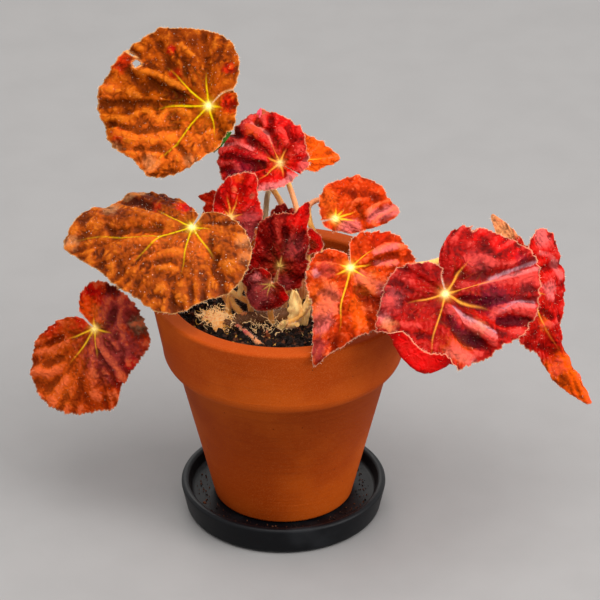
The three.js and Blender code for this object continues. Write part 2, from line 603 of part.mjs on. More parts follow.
function pot() {
  const bandStep = POT_BAND_RADIUS - POT_BODY_RADIUS;
  return turned([
    [DRAIN_HOLE_RADIUS, POT_FOOT],
    ...arc([POT_FOOT_RADIUS - POT_EDGE, POT_FOOT + POT_EDGE], POT_EDGE, POT_EDGE, -90, 0),
    ...arc([POT_BODY_RADIUS, POT_SHOULDER + POT_BAND_ROUNDING], bandStep, POT_BAND_ROUNDING, -90, 0, 4),
    ...arc([POT_RIM_RADIUS - POT_EDGE, POT_TOP - POT_EDGE], POT_EDGE, POT_EDGE, 0, 90),
    ...arc([POT_INNER_RIM + POT_EDGE, POT_TOP - POT_EDGE], POT_EDGE, POT_EDGE, 90, 180),
    [POT_INNER_SHOULDER, POT_SHOULDER], [POT_INNER_FOOT, POT_FLOOR],
    [DRAIN_HOLE_RADIUS, POT_FLOOR], [DRAIN_HOLE_RADIUS, POT_FOOT],
  ]);
}

// ---- assembly -----------------------------------------------------------------------------------
const begonia = new THREE.Group();

function place(name, geometry, material) {
  const mesh = new THREE.Mesh(geometry, material);
  mesh.name = name;
  begonia.add(mesh);
}

place('saucer', saucer(), CHARCOAL);
place('pot', pot(), TERRACOTTA);
place('soil', toGeometry(soil()), SOIL);
place('rhizome', toGeometry(rhizome(0)), STEM);

const rhizomeClearance = rhizome(SEAT_GAP);
for (const leaf of LEAVES) {
  place(`leaf_${leaf.name}`, blade(leaf), leaf.material);
  place(`petiole_${leaf.name}`, toGeometry(largest(petiole(leaf, 0).subtract(rhizomeClearance))), STEM);
}

export default begonia;
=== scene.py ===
"""A potted begonia: hairy, puckered leaves over a clay flower pot that stands on a dark saucer.

The file is laid out as an add-on with a panel in the 3D view's sidebar, and is run as a script.
Lengths in the plant's tables are millimetres, and everything that reaches Blender is metres.
"""
import math

import bpy
import numpy as np
from bpy.props import FloatProperty, FloatVectorProperty, IntProperty, PointerProperty
from bpy.types import Operator, Panel, PropertyGroup
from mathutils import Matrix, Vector


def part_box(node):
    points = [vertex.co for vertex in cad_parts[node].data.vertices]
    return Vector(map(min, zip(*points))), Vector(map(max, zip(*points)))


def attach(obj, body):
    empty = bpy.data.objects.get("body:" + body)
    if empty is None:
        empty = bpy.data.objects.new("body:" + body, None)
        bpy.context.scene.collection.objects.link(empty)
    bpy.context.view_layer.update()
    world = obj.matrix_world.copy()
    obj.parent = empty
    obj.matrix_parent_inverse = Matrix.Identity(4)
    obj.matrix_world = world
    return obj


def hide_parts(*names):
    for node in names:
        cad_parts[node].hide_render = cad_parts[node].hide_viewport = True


bl_info = {
    "name": "Potted begonia",
    "version": (1, 0, 0),
    "blender": (4, 5, 0),
    "location": "3D View > Sidebar > Begonia",
    "description": "Builds the looks of a potted begonia around its measured frame",
    "category": "Object",
}

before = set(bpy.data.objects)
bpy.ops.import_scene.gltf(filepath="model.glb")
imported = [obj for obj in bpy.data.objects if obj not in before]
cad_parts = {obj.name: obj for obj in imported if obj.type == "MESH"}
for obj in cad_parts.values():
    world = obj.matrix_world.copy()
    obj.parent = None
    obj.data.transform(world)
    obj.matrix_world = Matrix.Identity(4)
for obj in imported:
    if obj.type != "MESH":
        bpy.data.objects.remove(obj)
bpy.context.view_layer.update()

MM = 0.001
BODY = "root"


# ---- the plant ----
# Each blade spreads from its star, where the stalk joins it. The face looks along "normal", and the
# midrib runs along "tip". A row of "outline" is (angle from the midrib in degrees, reach, lift).
# Main veins lie in valleys at the angles in "veins", and the tissue between them rises by "pleat".
# "slit" bends the cut between the two lobes by so many degrees, and the lobes of a "shut" leaf meet in a
# cut without a pale rim. "curl" rolls a stretch of the margin: it gives the angle of its middle, half its
# width in degrees, the share of the reach where it starts, how far it turns in degrees, and the share of
# the rolled strip that is bent before it runs on straight.
# "puff" is the puckers' size, how much longer they are along the veins, and how far they rise.
# "tooth" is the depth of the margin's teeth, "frill" how far the margin waves, and "ragged" how far it
# runs in and out. "lit" is how far each main vein shines yellow, as a share of the reach, and "glow" how
# bright the star's painted glow is. "forks" gives, by its number, the line of a main vein that leaves
# another.
# "route" is the stalk's way from the soil to the star, and "stalk" the kind of its skin.
# A line is made of points (angle, percent of the reach). A row of "folds" is (line, width, height), where
# a hollow's height is negative, and a row of "washes" is (colour, line, radius, strength).
# Some wash colours are painted shade, and some painted highlights.
# A row of "holes" is (angle, percent of the reach, length, width).
# "depth" is how strongly the painted shade of hollows and the painted highlight of crests show, "crease"
# how dark the painted shade in the fine creases is, "gloss" the strength of reflections, and "sparkle" that
# of the painted glints on the pale glands.
USUAL_LEAF = dict(
    slit=0, frill=0.4, ragged=0.4, gloss=0.03, sparkle=0.08, depth=1, crease=1, shut=False, stalk="tan",
    curl=None, forks={}, folds=[], holes=[],
)
LEAVES = [{**USUAL_LEAF, **leaf} for leaf in (dict(
    name="top_left", family="amber", star=(-36, 15, 217), normal=(-0.1, -0.72, 0.69), tip=(-1, 0, -0.13),
    slit=12, pleat=2.2, puff=(7, 1.7, 0.8), tooth=0.35, frill=0.35, ragged=0.35,
    veins=(-92, -48, -25, -5, 42, 98, 162), lit=(0.42, 0.55, 0, 0.45, 0.85, 0.75, 0.5), painted_glow=1, sparkle=0.3,
    depth=1.1, crease=1.5,
    outline=[(-152, 14, -1), (-136, 22, -3), (-124, 29, -4), (-112, 35, -4), (-95, 39, -4), (-80, 42, -4),
        (-62, 48, -4), (-53, 49, -4), (-43, 51, -5), (-20, 55, -7), (-13, 56, -8), (2, 52, -8), (14, 51, -6),
        (28, 45, -4), (46, 44, -3), (57, 38, -3), (80, 25, -2), (98, 21, -2), (112, 17, -1), (129, 17, 0),
        (159, 14, 1), (189, 15, 2), (204, 14, 2)],
    route=[(4, 11, 107), (4, 17, 138), (0, 20, 158), (-5, 26, 165), (-14, 35, 171), (-23, 40, 177),
        (-30, 41, 187), (-34, 35, 202), (-35.5, 24, 210)],
    folds=[([(-33, 78), (-37, 65), (-39, 48), (-41, 29)], 2, 1.6),
        ([(-29, 57), (-25, 41), (-22, 25)], 3.6, -1.8),
        ([(-4, 98), (1, 78), (-4, 57), (9, 50), (-3, 35), (16, 21)], 2.2, 1.6),
        ([(14, 68), (21, 55), (28, 42)], 2.2, -1.5), ([(18, 82), (24, 68), (35, 52)], 3.8, 1.5),
        ([(21, 95), (28, 84), (36, 71)], 1.2, -1), ([(20, 100), (28, 89), (40, 74)], 1.6, 0.9),
        ([(6, 92), (12, 85), (17, 81)], 3, 1.4), ([(2, 93), (6, 83), (14, 72)], 1.4, -1.2),
        ([(-10, 92), (-10, 69), (-9, 52), (-11, 32)], 2.4, -1.5), ([(-18, 94), (-19, 86), (-21, 74)], 3, 1),
        ([(-30, 78), (-26, 67), (-19, 57)], 2, -1.2), ([(-71, 76), (-75, 67), (-82, 60)], 2, 1.2),
        ([(-59, 83), (-56, 69), (-52, 59)], 2.2, -1), ([(-67, 56), (-65, 50), (-61, 41)], 1.6, -0.8),
        ([(46, 55), (55, 66), (61, 79)], 1.4, -1.3), ([(65, 56), (79, 61), (96, 64)], 2.4, 0.8)],
    washes=[("red", [(-63, 72)], 2.4, 0.9), ("red", [(-126, 76)], 2.8, 0.7), ("red", [(174, 70)], 4, 0.8),
        ("red", [(-35, 94)], 5, 0.6), ("red", [(11, 88)], 4, 0.6), ("red", [(-51, 48)], 3, 0.6),
        ("dark", [(-63, 27)], 1.6, 1), ("dark", [(-25, 30)], 5, 0.6), ("dark", [(-16, 63)], 3, 0.5),
        ("dark", [(-78, 71)], 22, 0.3), ("lit", [(26, 73)], 15, 0.6), ("lit", [(68, 74)], 12, 0.5),
        ("lit", [(-16, 91)], 6, 0.5), ("pale", [(17, 99)], 3, 0.52), ("pale", [(38, 88)], 4, 0.39),
        ("pale", [(66, 88)], 3, 0.33)],
    holes=[(-38, 81, 5, 4.4), (-42, 94, 6, 1.2)],
), dict(
    name="mid_left", family="amber", star=(-44, -12, 165), normal=(-0.15, -0.45, 0.88), tip=(-0.98, 0, -0.17),
    pleat=2, puff=(7, 1.3, 0.6), tooth=0.3, ragged=0.3, veins=(-80, -36, -2, 26, 71, 114, 158),
    lit=(0.25, 0.5, 0.85, 0.7, 0.55, 0.5, 0.35), painted_glow=1, gloss=0.08, sparkle=0.6, depth=1.2, crease=1.5,
    forks={2: [(9, 1), (9, 30), (0, 48), (-6, 71), (-6, 100)], 3: [(9, 28), (16, 42), (22, 65), (24, 100)]},
    outline=[(-118, 7, -1), (-95, 12, -2), (-78, 19, -4), (-60, 28, -4), (-50, 35, -4), (-42, 41, -3),
        (-34, 43, -4), (-27, 48, -4), (-22, 56, -4), (-12, 62, -6), (-5, 65, -8), (3, 58, -8), (14, 50, -8),
        (28, 46, -8), (45, 44, -8), (62, 46, -8), (77, 45, -7), (92, 41, -6), (112, 40, -6), (135, 36, -4),
        (150, 32, -3), (166, 26, -1), (182, 20, 0), (200, 15, 1), (222, 8, 2)],
    route=[(-15, -8, 107), (-18, -6, 128), (-30, -4, 146), (-39, -6, 155), (-43, -9, 159.5)],
    folds=[([(-10, 71), (-8, 60), (-8, 46), (-8, 25)], 2.4, -1.6),
        ([(-29, 86), (-29, 63), (-27, 40), (-21, 15)], 3.2, 1.5),
        ([(-37, 96), (-39, 76), (-40, 63)], 2.4, -1.2), ([(-14, 83), (-13, 77), (-9, 68)], 2.6, 1.6),
        ([(-12, 69), (-8, 63)], 1.3, -1.3), ([(5, 68), (2, 55), (10, 40)], 3.4, 1.2),
        ([(31, 56), (41, 42), (60, 33)], 1.8, 1.1), ([(43, 56), (55, 46), (63, 45)], 1.5, -1.1),
        ([(48, 61), (58, 55), (67, 53)], 1.6, 1), ([(60, 79)], 3.6, 1.7), ([(73, 70), (76, 84)], 3.4, 1.7),
        ([(90, 77)], 3, 1.2), ([(102, 83)], 3, 1.4), ([(122, 77)], 4.2, 1.9), ([(30, 78)], 3, 1.2),
        ([(18, 89)], 2.6, 1.1), ([(65, 91)], 2.6, 1.2), ([(86, 99)], 3, 1),
        ([(63, 63), (69, 77), (72, 90)], 2, -0.7), ([(84, 74), (84, 91)], 1.9, -0.7),
        ([(99, 66), (97, 88)], 1.9, -0.7), ([(119, 56), (109, 69), (110, 83)], 2, -0.9),
        ([(164, 27), (159, 50), (155, 82)], 2.5, 1.2), ([(128, 32), (118, 46), (118, 55)], 2, -1.2),
        ([(197, 37), (174, 71)], 1.4, -1), ([(137, 64), (138, 81)], 3, 0.8)],
    washes=[("dark", [(-43, 83)], 7, 0.7), ("dark", [(-59, 83)], 6, 0.7), ("dark", [(-22, 71)], 5, 0.4),
        ("red", [(-76, 71)], 4, 1), ("red", [(-42, 55)], 3, 0.5), ("pale", [(-26, 89)], 4, 0.59),
        ("pale", [(-6, 94)], 4, 0.45), ("pale", [(153, 87)], 4, 0.39), ("pale", [(140, 94)], 4, 0.26),
        ("dark", [(99, 100)], 6, 0.4), ("pale", [(-50, 98), (-38, 97)], 1.6, 0.7),
        ("lit", [(14, 43)], 12, 0.4), ("lit", [(94, 27)], 10, 0.4)],
), dict(
    name="lower_left", family="orange_red", star=(-93, -5, 104), normal=(-0.35, -0.85, 0.4),
    tip=(-0.12, -0.38, -0.92), pleat=2, puff=(7, 1.8, 0.6), tooth=0.7, ragged=0.35,
    veins=(-62, -27, 15, 50, 85, 135, 190), lit=(0.4, 0.45, 0.34, 0, 0.32, 0, 0.25), painted_glow=0.8, depth=1.2,
    outline=[(-120, 7, -1), (-101, 16, -2), (-85, 24, -3), (-70, 33, -3), (-57, 39, -4), (-40, 45, -4),
        (-25, 47, -4), (-10, 45, -4), (9, 41, -5), (20, 40, -6), (28, 33, -6), (38, 29, -6), (66, 27, -6),
        (83, 28, -6), (100, 26, -5), (119, 24, -5), (145, 23, -3), (172, 24, 0), (190, 23, 1), (208, 18, 2),
        (228, 11, 1)],
    route=[(-22, 2, 106), (-34, 2, 124), (-55, 2, 131), (-76, 3, 127), (-88, 4, 114), (-91, 1, 104.5)],
    folds=[([(-60, 88), (-56, 61), (-58, 41)], 2.4, 1.4), ([(-64, 72), (-66, 53)], 1.6, -1),
        ([(-47, 89), (-40, 73), (-35, 56)], 2.4, 1.4), ([(-47, 75), (-42, 54)], 2, -1.2),
        ([(-27, 92), (-25, 76), (-24, 63)], 3, 1.4), ([(-33, 86), (-31, 71)], 1.6, -1),
        ([(28, 18), (31, 43), (36, 70), (34, 90)], 2.8, 1.6),
        ([(19, 29), (26, 55), (29, 73), (26, 83)], 1.8, -1.8), ([(66, 55), (55, 74), (48, 90)], 3, 1.2),
        ([(77, 45), (65, 63), (48, 80)], 1.6, -1.2), ([(156, 72), (146, 48), (145, 20)], 2.6, 1.2),
        ([(161, 96), (151, 77), (128, 46)], 2.8, -1.5), ([(147, 82), (116, 59), (89, 56)], 2.6, 1.2),
        ([(-15, 19), (-5, 42), (-7, 71)], 2, -0.8), ([(1, 25), (4, 55), (7, 80)], 3.2, 1)],
    washes=[("amber", [(-35, 55)], 42, 0.7), ("red", [(199, 69)], 9, 1), ("red", [(206, 45)], 9, 0.9),
        ("orange", [(200, 50)], 6, 0.65), ("lit", [(172, 36)], 4, 0.8), ("dark", [(128, 46)], 5, 0.9),
        ("dark", [(162, 94)], 4, 0.9), ("rose", [(49, 56)], 15, 0.8), ("rose", [(130, 68)], 10, 0.7),
        ("dry", [(103, 91)], 5, 0.9), ("dark", [(14, 53)], 4, 0.6), ("lit", [(-35, 69)], 14, 0.4),
        ("lit", [(-23, 83)], 8, 0.5), ("red", [(-84, 100)], 6, 0.5), ("red", [(53, 96)], 4, 0.7),
        ("red", [(32, 99)], 4, 0.5), ("dark", [(113, 22)], 3, 0.7)],
), dict(
    name="upper_centre", family="crimson", star=(-1.5, 20, 183), normal=(-0.15, -0.7, 0.7),
    tip=(-0.89, 0.4, 0.21), shut=True, pleat=3, puff=(5, 1.6, 0.6), tooth=0.35,
    veins=(-140, -86, -41, 1, 30, 62, 131), lit=(0, 0.35, 0.5, 0.25, 0, 0.65, 0.6), painted_glow=0.5, gloss=0.06,
    depth=1.2,
    outline=[(-186, 12, 1), (-160, 14.5, 0), (-135, 14, -2), (-115, 16, -3), (-98, 20, -3), (-78, 23, -4),
        (-62, 26, -4), (-42, 31, -5), (-28, 30, -5), (0, 31, -5), (25, 31, -5), (35, 30, -4), (50, 26, -3),
        (79, 17.5, 0), (96, 15, 1), (134, 12.2, 1), (170, 11, 0)],
    route=[(9, 6, 107), (9, 9, 140), (6.5, 14, 161), (2, 21, 173), (-0.6, 24, 178.5)],
    folds=[([(-23, 87), (-31, 66), (-40, 40), (-41, 20)], 2.4, 1.8),
        ([(-14, 63), (-16, 38), (-12, 20)], 2.2, -1.8), ([(10, 98), (1, 75), (0, 50), (3, 24)], 2.6, 2),
        ([(15, 84), (19, 55), (32, 30)], 3, -2.2), ([(21, 94), (21, 80), (27, 71)], 2.2, 1.4),
        ([(-3, 98), (-7, 82), (-5, 66)], 2.2, 1.4), ([(-9, 98), (-11, 80)], 1.5, -1),
        ([(-66, 61), (-73, 58), (-78, 47)], 2.4, 1.6), ([(-52, 81), (-44, 58)], 1.8, -1.4),
        ([(-90, 62), (-76, 79)], 1.6, -1.2), ([(-30, 96), (-37, 93)], 2.2, 1.6),
        ([(-43, 81), (-44, 69)], 2, 1.5), ([(-36, 79)], 1.6, -1.4), ([(-122, 79), (-126, 41)], 2, 1)],
    washes=[("plum_shade", [(23, 56)], 7, 0.5), ("dark", [(-12, 93)], 4, 0.6), ("red", [(-72, 82)], 10, 0.8),
        ("red", [(80, 57)], 8, 0.9), ("red", [(143, 57)], 7, 0.8),
        ("pink", [(78, 95), (100, 92), (130, 90), (165, 80)], 2.4, 0.8),
        ("red", [(-172, 50), (-150, 70)], 4, 0.8), ("pink", [(-172, 88), (-150, 92)], 2, 0.35),
        ("plum_shade", [(27, 30), (30, 60), (33, 85)], 2.4, 0.5), ("dark", [(-14, 30), (-15, 60)], 2, 0.4),
        ("dark", [(-57, 30), (-50, 60)], 2, 0.4), ("red", [(10, 40), (8, 80)], 5, 0.5),
        ("red", [(-30, 30), (-25, 80)], 4, 0.5), ("pink", [(-5, 50), (-3, 75), (2, 95)], 1, 0.75),
        ("pink", [(-43, 35), (-39, 60), (-30, 85)], 1, 0.75), ("pale", [(-45, 97)], 3, 0.39),
        ("lit", [(-29, 73)], 4, 0.4)],
), dict(
    name="upper_wedge", family="orange_red", star=(8, 32, 178), normal=(0.2, -0.6, 0.75),
    tip=(0.97, 0.25, -0.05), pleat=1, puff=(4, 2, 0.4), tooth=0.3, ragged=0.45,
    veins=(-90, -30, 2, 55, 105, 150), lit=(0, 0, 0.6, 0.5, 0, 0), painted_glow=0.4, stalk="green",
    outline=[(-150, 7, 0), (-100, 6, 0), (-56, 7, 0), (-32, 11, -1), (-14, 14, -2), (-6, 19, -2), (2, 21, -2),
        (17, 18, -1), (45, 15, 0), (94, 15, 0), (120, 13, 0), (150, 11, -1), (195, 8, -1)],
    route=[(-9, 5, 107), (-10, 13, 140), (-8.5, 22, 155), (-7, 31, 162), (-1, 38.5, 167.5), (5, 38.5, 171.5)],
    folds=[([(2, 20), (2, 90)], 1.2, 0.6), ([(30, 30), (30, 90)], 1.2, 0.5)],
    washes=[("orange", [(10, 60)], 20, 0.8)],
), dict(
    name="small_left", family="crimson", star=(-25.5, 1, 163), normal=(0.1, -0.93, 0.35),
    tip=(0.12, 0.36, 0.92), pleat=2, puff=(5, 2, 0.4), tooth=0.5, frill=0.25, ragged=0.3,
    veins=(-130, -67, -30, -12, 12, 47, 110), lit=(0.3, 0.4, 0, 0.5, 0.6, 0.4, 0.3), painted_glow=0.45, depth=0.6,
    outline=[(-165, 12, -1), (-135, 16, -2), (-108, 14, -3), (-84, 16, -3), (-60, 16, -3), (-41, 18, -4),
        (-25, 24, -4), (-8, 22, -5), (10, 19, -5), (26, 16, -4), (42, 13, -4), (62, 10, -3), (91, 10, -2),
        (119, 13, -2), (150, 13, -2), (178, 11, -1)],
    route=[(-13, 4, 107), (-16, 7, 130), (-21, 11, 147), (-25, 11, 158)],
    folds=[([(21, 96), (25, 56)], 2, -0.5), ([(2, 78), (-3, 41)], 2.2, 0.5),
        ([(-21, 63), (-40, 49)], 2, -0.5), ([(-50, 68), (-47, 33)], 2, 0.4)],
    washes=[("red", [(0, 50)], 17, 0.6), ("pale", [(-2, 66)], 1.4, 0.3), ("dry", [(-40, 83)], 1.6, 0.4),
        ("rose", [(-107, 74)], 8, 0.9), ("red", [(15, 93)], 5, 0.5), ("lit", [(-4, 95)], 3, 0.25),
        ("dark", [(39, 83)], 4, 0.4)],
), dict(
    name="centre", family="maroon", star=(-1.5, -10, 142), normal=(0.05, -0.93, 0.37), tip=(0.34, 0.36, 0.87),
    pleat=2, puff=(4.5, 2, 0.5), tooth=0.5, frill=0.25, veins=(-119, -58, -8, 11, 54, 98, 140),
    lit=(0, 0.15, 0, 0.2, 0.15, 0.12, 0.1), painted_glow=0.22, depth=1.2,
    outline=[(-170, 10, 0), (-147, 12, -1), (-128, 14, -2), (-88, 13.5, -3), (-60, 14, -3), (-43, 15, -3),
        (-30, 19, -3), (-16, 23, -4), (-5, 34, -6), (4, 27, -5), (13, 26, -4), (30, 25, -4), (48, 22, -4),
        (60, 18, -4), (72, 16, -3), (89, 15, -3), (105, 16, -3), (123, 18, -2), (145, 17, -1), (175, 12, 0)],
    route=[(0, -3, 107), (1, 0, 126), (-1.5, -2, 138)],
    folds=[([(25, 85), (17, 50)], 2.2, 0.84), ([(33, 89), (35, 55)], 2, -0.72),
        ([(-10, 33), (-51, 44)], 2.4, 0.72), ([(13, 72), (1, 33)], 1.6, -0.84),
        ([(-3, 70), (-5, 48)], 2.4, 0.72), ([(-16, 88), (-22, 65)], 1.5, -0.6)],
    washes=[("red", [(-3, 73)], 5, 0.9), ("red", [(-3, 91)], 3, 0.9), ("red", [(64, 100)], 4, 0.6),
        ("rose", [(-18, 51)], 6, 0.6), ("red", [(89, 89)], 4, 0.4), ("dark", [(40, 47)], 8, 0.45),
        ("dark", [(-18, 73)], 3, 0.6), ("rose", [(-144, 74)], 4, 0.5)],
), dict(
    name="small_front", family="maroon", star=(-6, -24, 140), normal=(-0.1, -0.75, 0.65),
    tip=(-0.29, -0.6, -0.74), pleat=1, puff=(2.6, 1.5, 0.35), tooth=0.3, frill=0.2, ragged=0.3,
    veins=(-108, -72, -35, 1, 38, 70), lit=(0, 0.5, 0.45, 0.5, 0, 0.3), painted_glow=0.12,
    outline=[(-172, 4, 0), (-150, 7, -1), (-128, 10, -1), (-105, 12, -2), (-85, 14, -2), (-65, 12, -2),
        (-49, 13, -3), (-11, 14, -3), (23, 12, -3), (50, 11.5, -3), (68, 11, -2), (82, 8, -1), (100, 5, 0),
        (125, 3, 0)],
    route=[(-5, -13, 107), (-6.5, -18, 126), (-6, -20, 135)],
    folds=[([(-97, 60)], 2, 0.8), ([(-42, 54)], 2.4, 0.8), ([(-146, 56), (-129, 73)], 1.2, -0.6),
        ([(22, 66)], 2.4, 0.6)],
    washes=[("pink", [(-97, 60)], 2.6, 0.7), ("rose", [(-39, 55)], 7, 0.9), ("red", [(69, 87)], 2.6, 0.8),
        ("red", [(-143, 81)], 2.6, 0.6), ("dark", [(-65, 94)], 2, 0.8), ("dark", [(10, 79)], 3, 0.5)],
), dict(
    name="right_centre", family="orange_red", star=(25.5, 10, 157.5), normal=(0.15, -0.6, 0.79),
    tip=(0.97, 0.25, 0.01), pleat=1.6, puff=(6, 1.8, 0.7), tooth=0.35, ragged=0.35,
    veins=(-100, -40, -10, 15, 40, 73, 120), lit=(0, 0.22, 0.42, 0.35, 0.22, 0.28, 0.15), painted_glow=0.75,
    outline=[(-178, 6.5, -1), (-119, 6, -2), (-63, 7.5, -3), (-46, 11, -3), (-27, 16, -3), (-17, 21, -3),
        (-9, 27, -3), (0, 33, -4), (13, 31, -4), (38, 31, -4), (52, 28, -4), (69, 23, -3), (88, 19, -2),
        (110, 14, -1), (141, 8.5, 0), (180, 7, 0)],
    route=[(15, 8, 107), (18, 14, 138), (13, 18, 152), (13, 22, 158.5), (18.5, 24.5, 160), (23, 21, 156),
        (24.6, 15, 153)],
    folds=[([(41, 35), (32, 50)], 1.8, 1), ([(58, 62), (33, 64)], 2, -0.6), ([(32, 68), (17, 88)], 2.2, -0.9),
        ([(0, 47), (13, 74), (15, 98)], 1.6, 1.2), ([(17, 45), (-2, 44)], 1.4, -1),
        ([(-11, 74), (-1, 76), (3, 92)], 1.4, 1.2), ([(-4, 58), (7, 76)], 1, -0.8)],
    washes=[("pink", [(-50, 60), (-25, 60)], 3, 0.6), ("pink", [(-3, 60), (3, 95)], 3, 0.6),
        ("red", [(-140, 79)], 3, 1), ("dark", [(23, 79)], 3, 0.5), ("dark", [(49, 60)], 3, 0.4),
        ("lit", [(101, 73)], 6, 0.5)],
), dict(
    name="front_right", family="orange_red", star=(32.5, -38, 157), normal=(0.05, -0.68, 0.73),
    tip=(-0.33, -0.7, -0.63), pleat=1.8, puff=(7, 1.6, 0.8), tooth=0.7, veins=(-85, -42, 8, 40, 75, 118, 150),
    lit=(0.3, 0.35, 0.75, 0, 0.35, 0.3, 0.55), painted_glow=0.95,
    outline=[(-154, 6, -1), (-134, 9, -1), (-112, 14, -1), (-93, 18, -1), (-72, 20, -1), (-50, 23, -1),
        (-36, 24, -2), (-19, 29, -4), (-7, 40, -7), (0, 50, -9), (5, 43, -8), (12, 39, -7), (24, 34, -5),
        (48, 32, -5), (83, 28, -5), (105, 28, -4), (121, 32, -3), (130, 30, -3), (140, 29, -2), (150, 28, -2),
        (165, 22, 0), (185, 18, 0), (202, 12, 0)],
    route=[(14, -9, 107), (20, -12, 130), (27, -19, 143), (31.5, -29, 151.5)],
    folds=[([(-78, 81), (-83, 53), (-84, 27)], 1.6, 1), ([(-89, 83), (-95, 56)], 1.2, -0.7),
        ([(-62, 69), (-60, 41)], 1.4, -1), ([(148, 17), (146, 50), (139, 79), (134, 94)], 2, 1.4),
        ([(108, 23), (124, 46), (127, 75)], 1.4, -1.2), ([(97, 21), (116, 46), (119, 70)], 1.6, 1),
        ([(60, 23), (86, 41), (88, 61)], 3, 1.4), ([(38, 36), (49, 54), (56, 70)], 3, -1.4),
        ([(-43, 59), (-21, 47)], 2.6, 1.2), ([(-30, 72), (-6, 39)], 1.4, -0.8),
        ([(19, 72), (31, 89)], 2.5, 0.8), ([(-11, 60), (1, 49)], 2.5, 0.8)],
    washes=[("lilac_highlight", [(-60, 78)], 2, 0.5), ("rose", [(-62, 55)], 5, 0.5),
        ("pink", [(66, 25), (72, 50), (80, 80)], 3.4, 0.6), ("pink", [(-15, 55), (-8, 80)], 5, 0.5),
        ("orange", [(28, 55), (30, 85)], 4, 0.6), ("pink", [(142, 50), (136, 85)], 1.6, 0.6),
        ("pink", [(118, 40), (118, 70)], 1.4, 0.5), ("dark", [(52, 60)], 7, 0.5),
        ("lit", [(-21, 76)], 9, 0.5), ("dark", [(0, 92)], 5, 0.5), ("rose", [(-3, 88)], 5, 0.7),
        ("lit", [(67, 38)], 6, 0.6), ("red", [(156, 82)], 6, 0.4), ("dark", [(9, 88)], 4, 0.3)],
), dict(
    name="far_right", family="crimson", star=(78, -46, 147), normal=(0.15, -0.75, 0.65),
    tip=(-0.16, -0.66, -0.73), slit=10, pleat=3.5, puff=(7, 1.8, 0.35), tooth=0.5,
    veins=(-110, -63, -4, 40, 78, 115, 152), lit=(0, 0.55, 0.6, 0, 0.5, 0.55, 0.5), painted_glow=1.1, gloss=0.08,
    depth=1.05, curl=dict(centre=-16, half=40, start=0.74, turn=165, bend=0.4),
    outline=[(-166, 12, 1), (-148, 16, 1), (-127, 20, 0), (-108, 26, -1), (-90, 29, -2), (-70, 32, -2),
        (-58, 36, -2), (-42, 44, -1), (-22, 51, 0), (-5, 52, 0), (12, 43, 0), (21, 37.5, -1), (30, 36, -2),
        (44, 37, -3), (58, 37, -3), (72, 42, -4), (84, 45, -6), (110, 48, -6), (121, 50, -6), (140, 44, -6),
        (155, 40, -6), (170, 36, -5), (182, 32, -4), (192, 23, -2)],
    route=[(20, -6, 107), (30, -7, 128), (46, -10, 139), (62, -20, 144), (74, -35, 143)],
    folds=[([(115, 17), (117, 41), (113, 68), (114, 94)], 3, 2.4),
        ([(81, 20), (87, 43), (94, 63), (99, 87)], 4.2, -2.2), ([(82, 58), (92, 74), (91, 93)], 3, 2.2),
        ([(75, 69), (81, 86), (85, 96)], 2.4, -2.2), ([(18, 18), (41, 42), (53, 66), (56, 85)], 2.6, 2.4),
        ([(17, 36), (29, 60), (44, 80)], 3.2, -2.2), ([(41, 88)], 2.6, 1.8), ([(-69, 88)], 4.2, 2.2),
        ([(150, 50), (145, 59), (135, 59)], 3, 1.8), ([(150, 29), (128, 34), (125, 43)], 2.4, -1.4),
        ([(130, 65), (125, 78)], 3, 1.4), ([(102, 89)], 2, 1.6), ([(-23, 50), (-10, 43)], 1.6, -1.2),
        ([(17, 68), (30, 89)], 2.2, 1.2), ([(-95, 88), (-81, 55)], 1.6, -1),
        ([(-42, 59), (-33, 46)], 2.5, 1)],
    washes=[("plum_shade", [(85, 25), (91, 50), (96, 80)], 3, 0.55), ("plum_shade", [(76, 68), (82, 88)], 2.2, 0.6),
        ("plum_shade", [(20, 30), (33, 60), (44, 80)], 2.2, 0.6),
        ("pink", [(116, 35), (117, 65), (117, 98)], 1.1, 0.7),
        ("lilac_highlight", [(120, 45), (121, 70), (121, 98)], 0.8, 0.7),
        ("pink", [(81, 60), (92, 75), (94, 95)], 1.1, 0.7),
        ("lilac_highlight", [(84, 60), (95, 75), (97, 95)], 0.7, 0.6),
        ("pink", [(34, 20), (48, 45), (59, 85)], 1.1, 0.8),
        ("lilac_highlight", [(40, 20), (53, 45), (62, 80)], 0.7, 0.6), ("dark", [(165, 50)], 26, 0.3),
        ("dark", [(-110, 55)], 18, 0.3), ("pink", [(14, 70), (30, 95)], 3, 0.5),
        ("pink", [(-58, 90)], 3.4, 0.6), ("rose", [(-75, 78)], 4, 0.7), ("red", [(174, 65)], 12, 0.25),
        ("red", [(142, 86)], 5, 1), ("red", [(132, 84)], 4, 1), ("red", [(159, 90)], 4, 0.9),
        ("plum_shade", [(125, 85)], 3.5, 0.5), ("dark", [(144, 73)], 3, 0.4), ("rose", [(108, 85)], 4, 0.4),
        ("red", [(100, 70)], 4, 0.4), ("pale", [(53, 62)], 4, 0.33), ("plum_shade", [(40, 65)], 5, 0.7),
        ("plum_shade", [(94, 52)], 8, 0.6), ("rose", [(-73, 86)], 6, 0.7), ("pale", [(-50, 81)], 4, 0.39),
        ("red", [(-111, 52)], 7, 0.3), ("rose", [(142, 54)], 6, 0.5), ("lit", [(21, 76)], 8, 0.35)],
    holes=[(165, 100, 5, 3.4)],
), dict(
    name="edge_right", family="crimson", star=(121, -8, 127.5), normal=(0.8, -0.5, 0.33),
    tip=(0.36, -0.04, -0.93), pleat=1.8, puff=(9, 1.1, 0.4), tooth=0.5, frill=0.2,
    veins=(-150, -90, -45, 3, 45, 89, 120), lit=(0, 0.3, 0.3, 0.5, 0.4, 0.3, 0.2), painted_glow=0.4, depth=1.2,
    outline=[(-195, 17, -2), (-160, 16, -3), (-125, 15, -4), (-84, 16, -5), (-56, 21, -5), (-40, 26, -5),
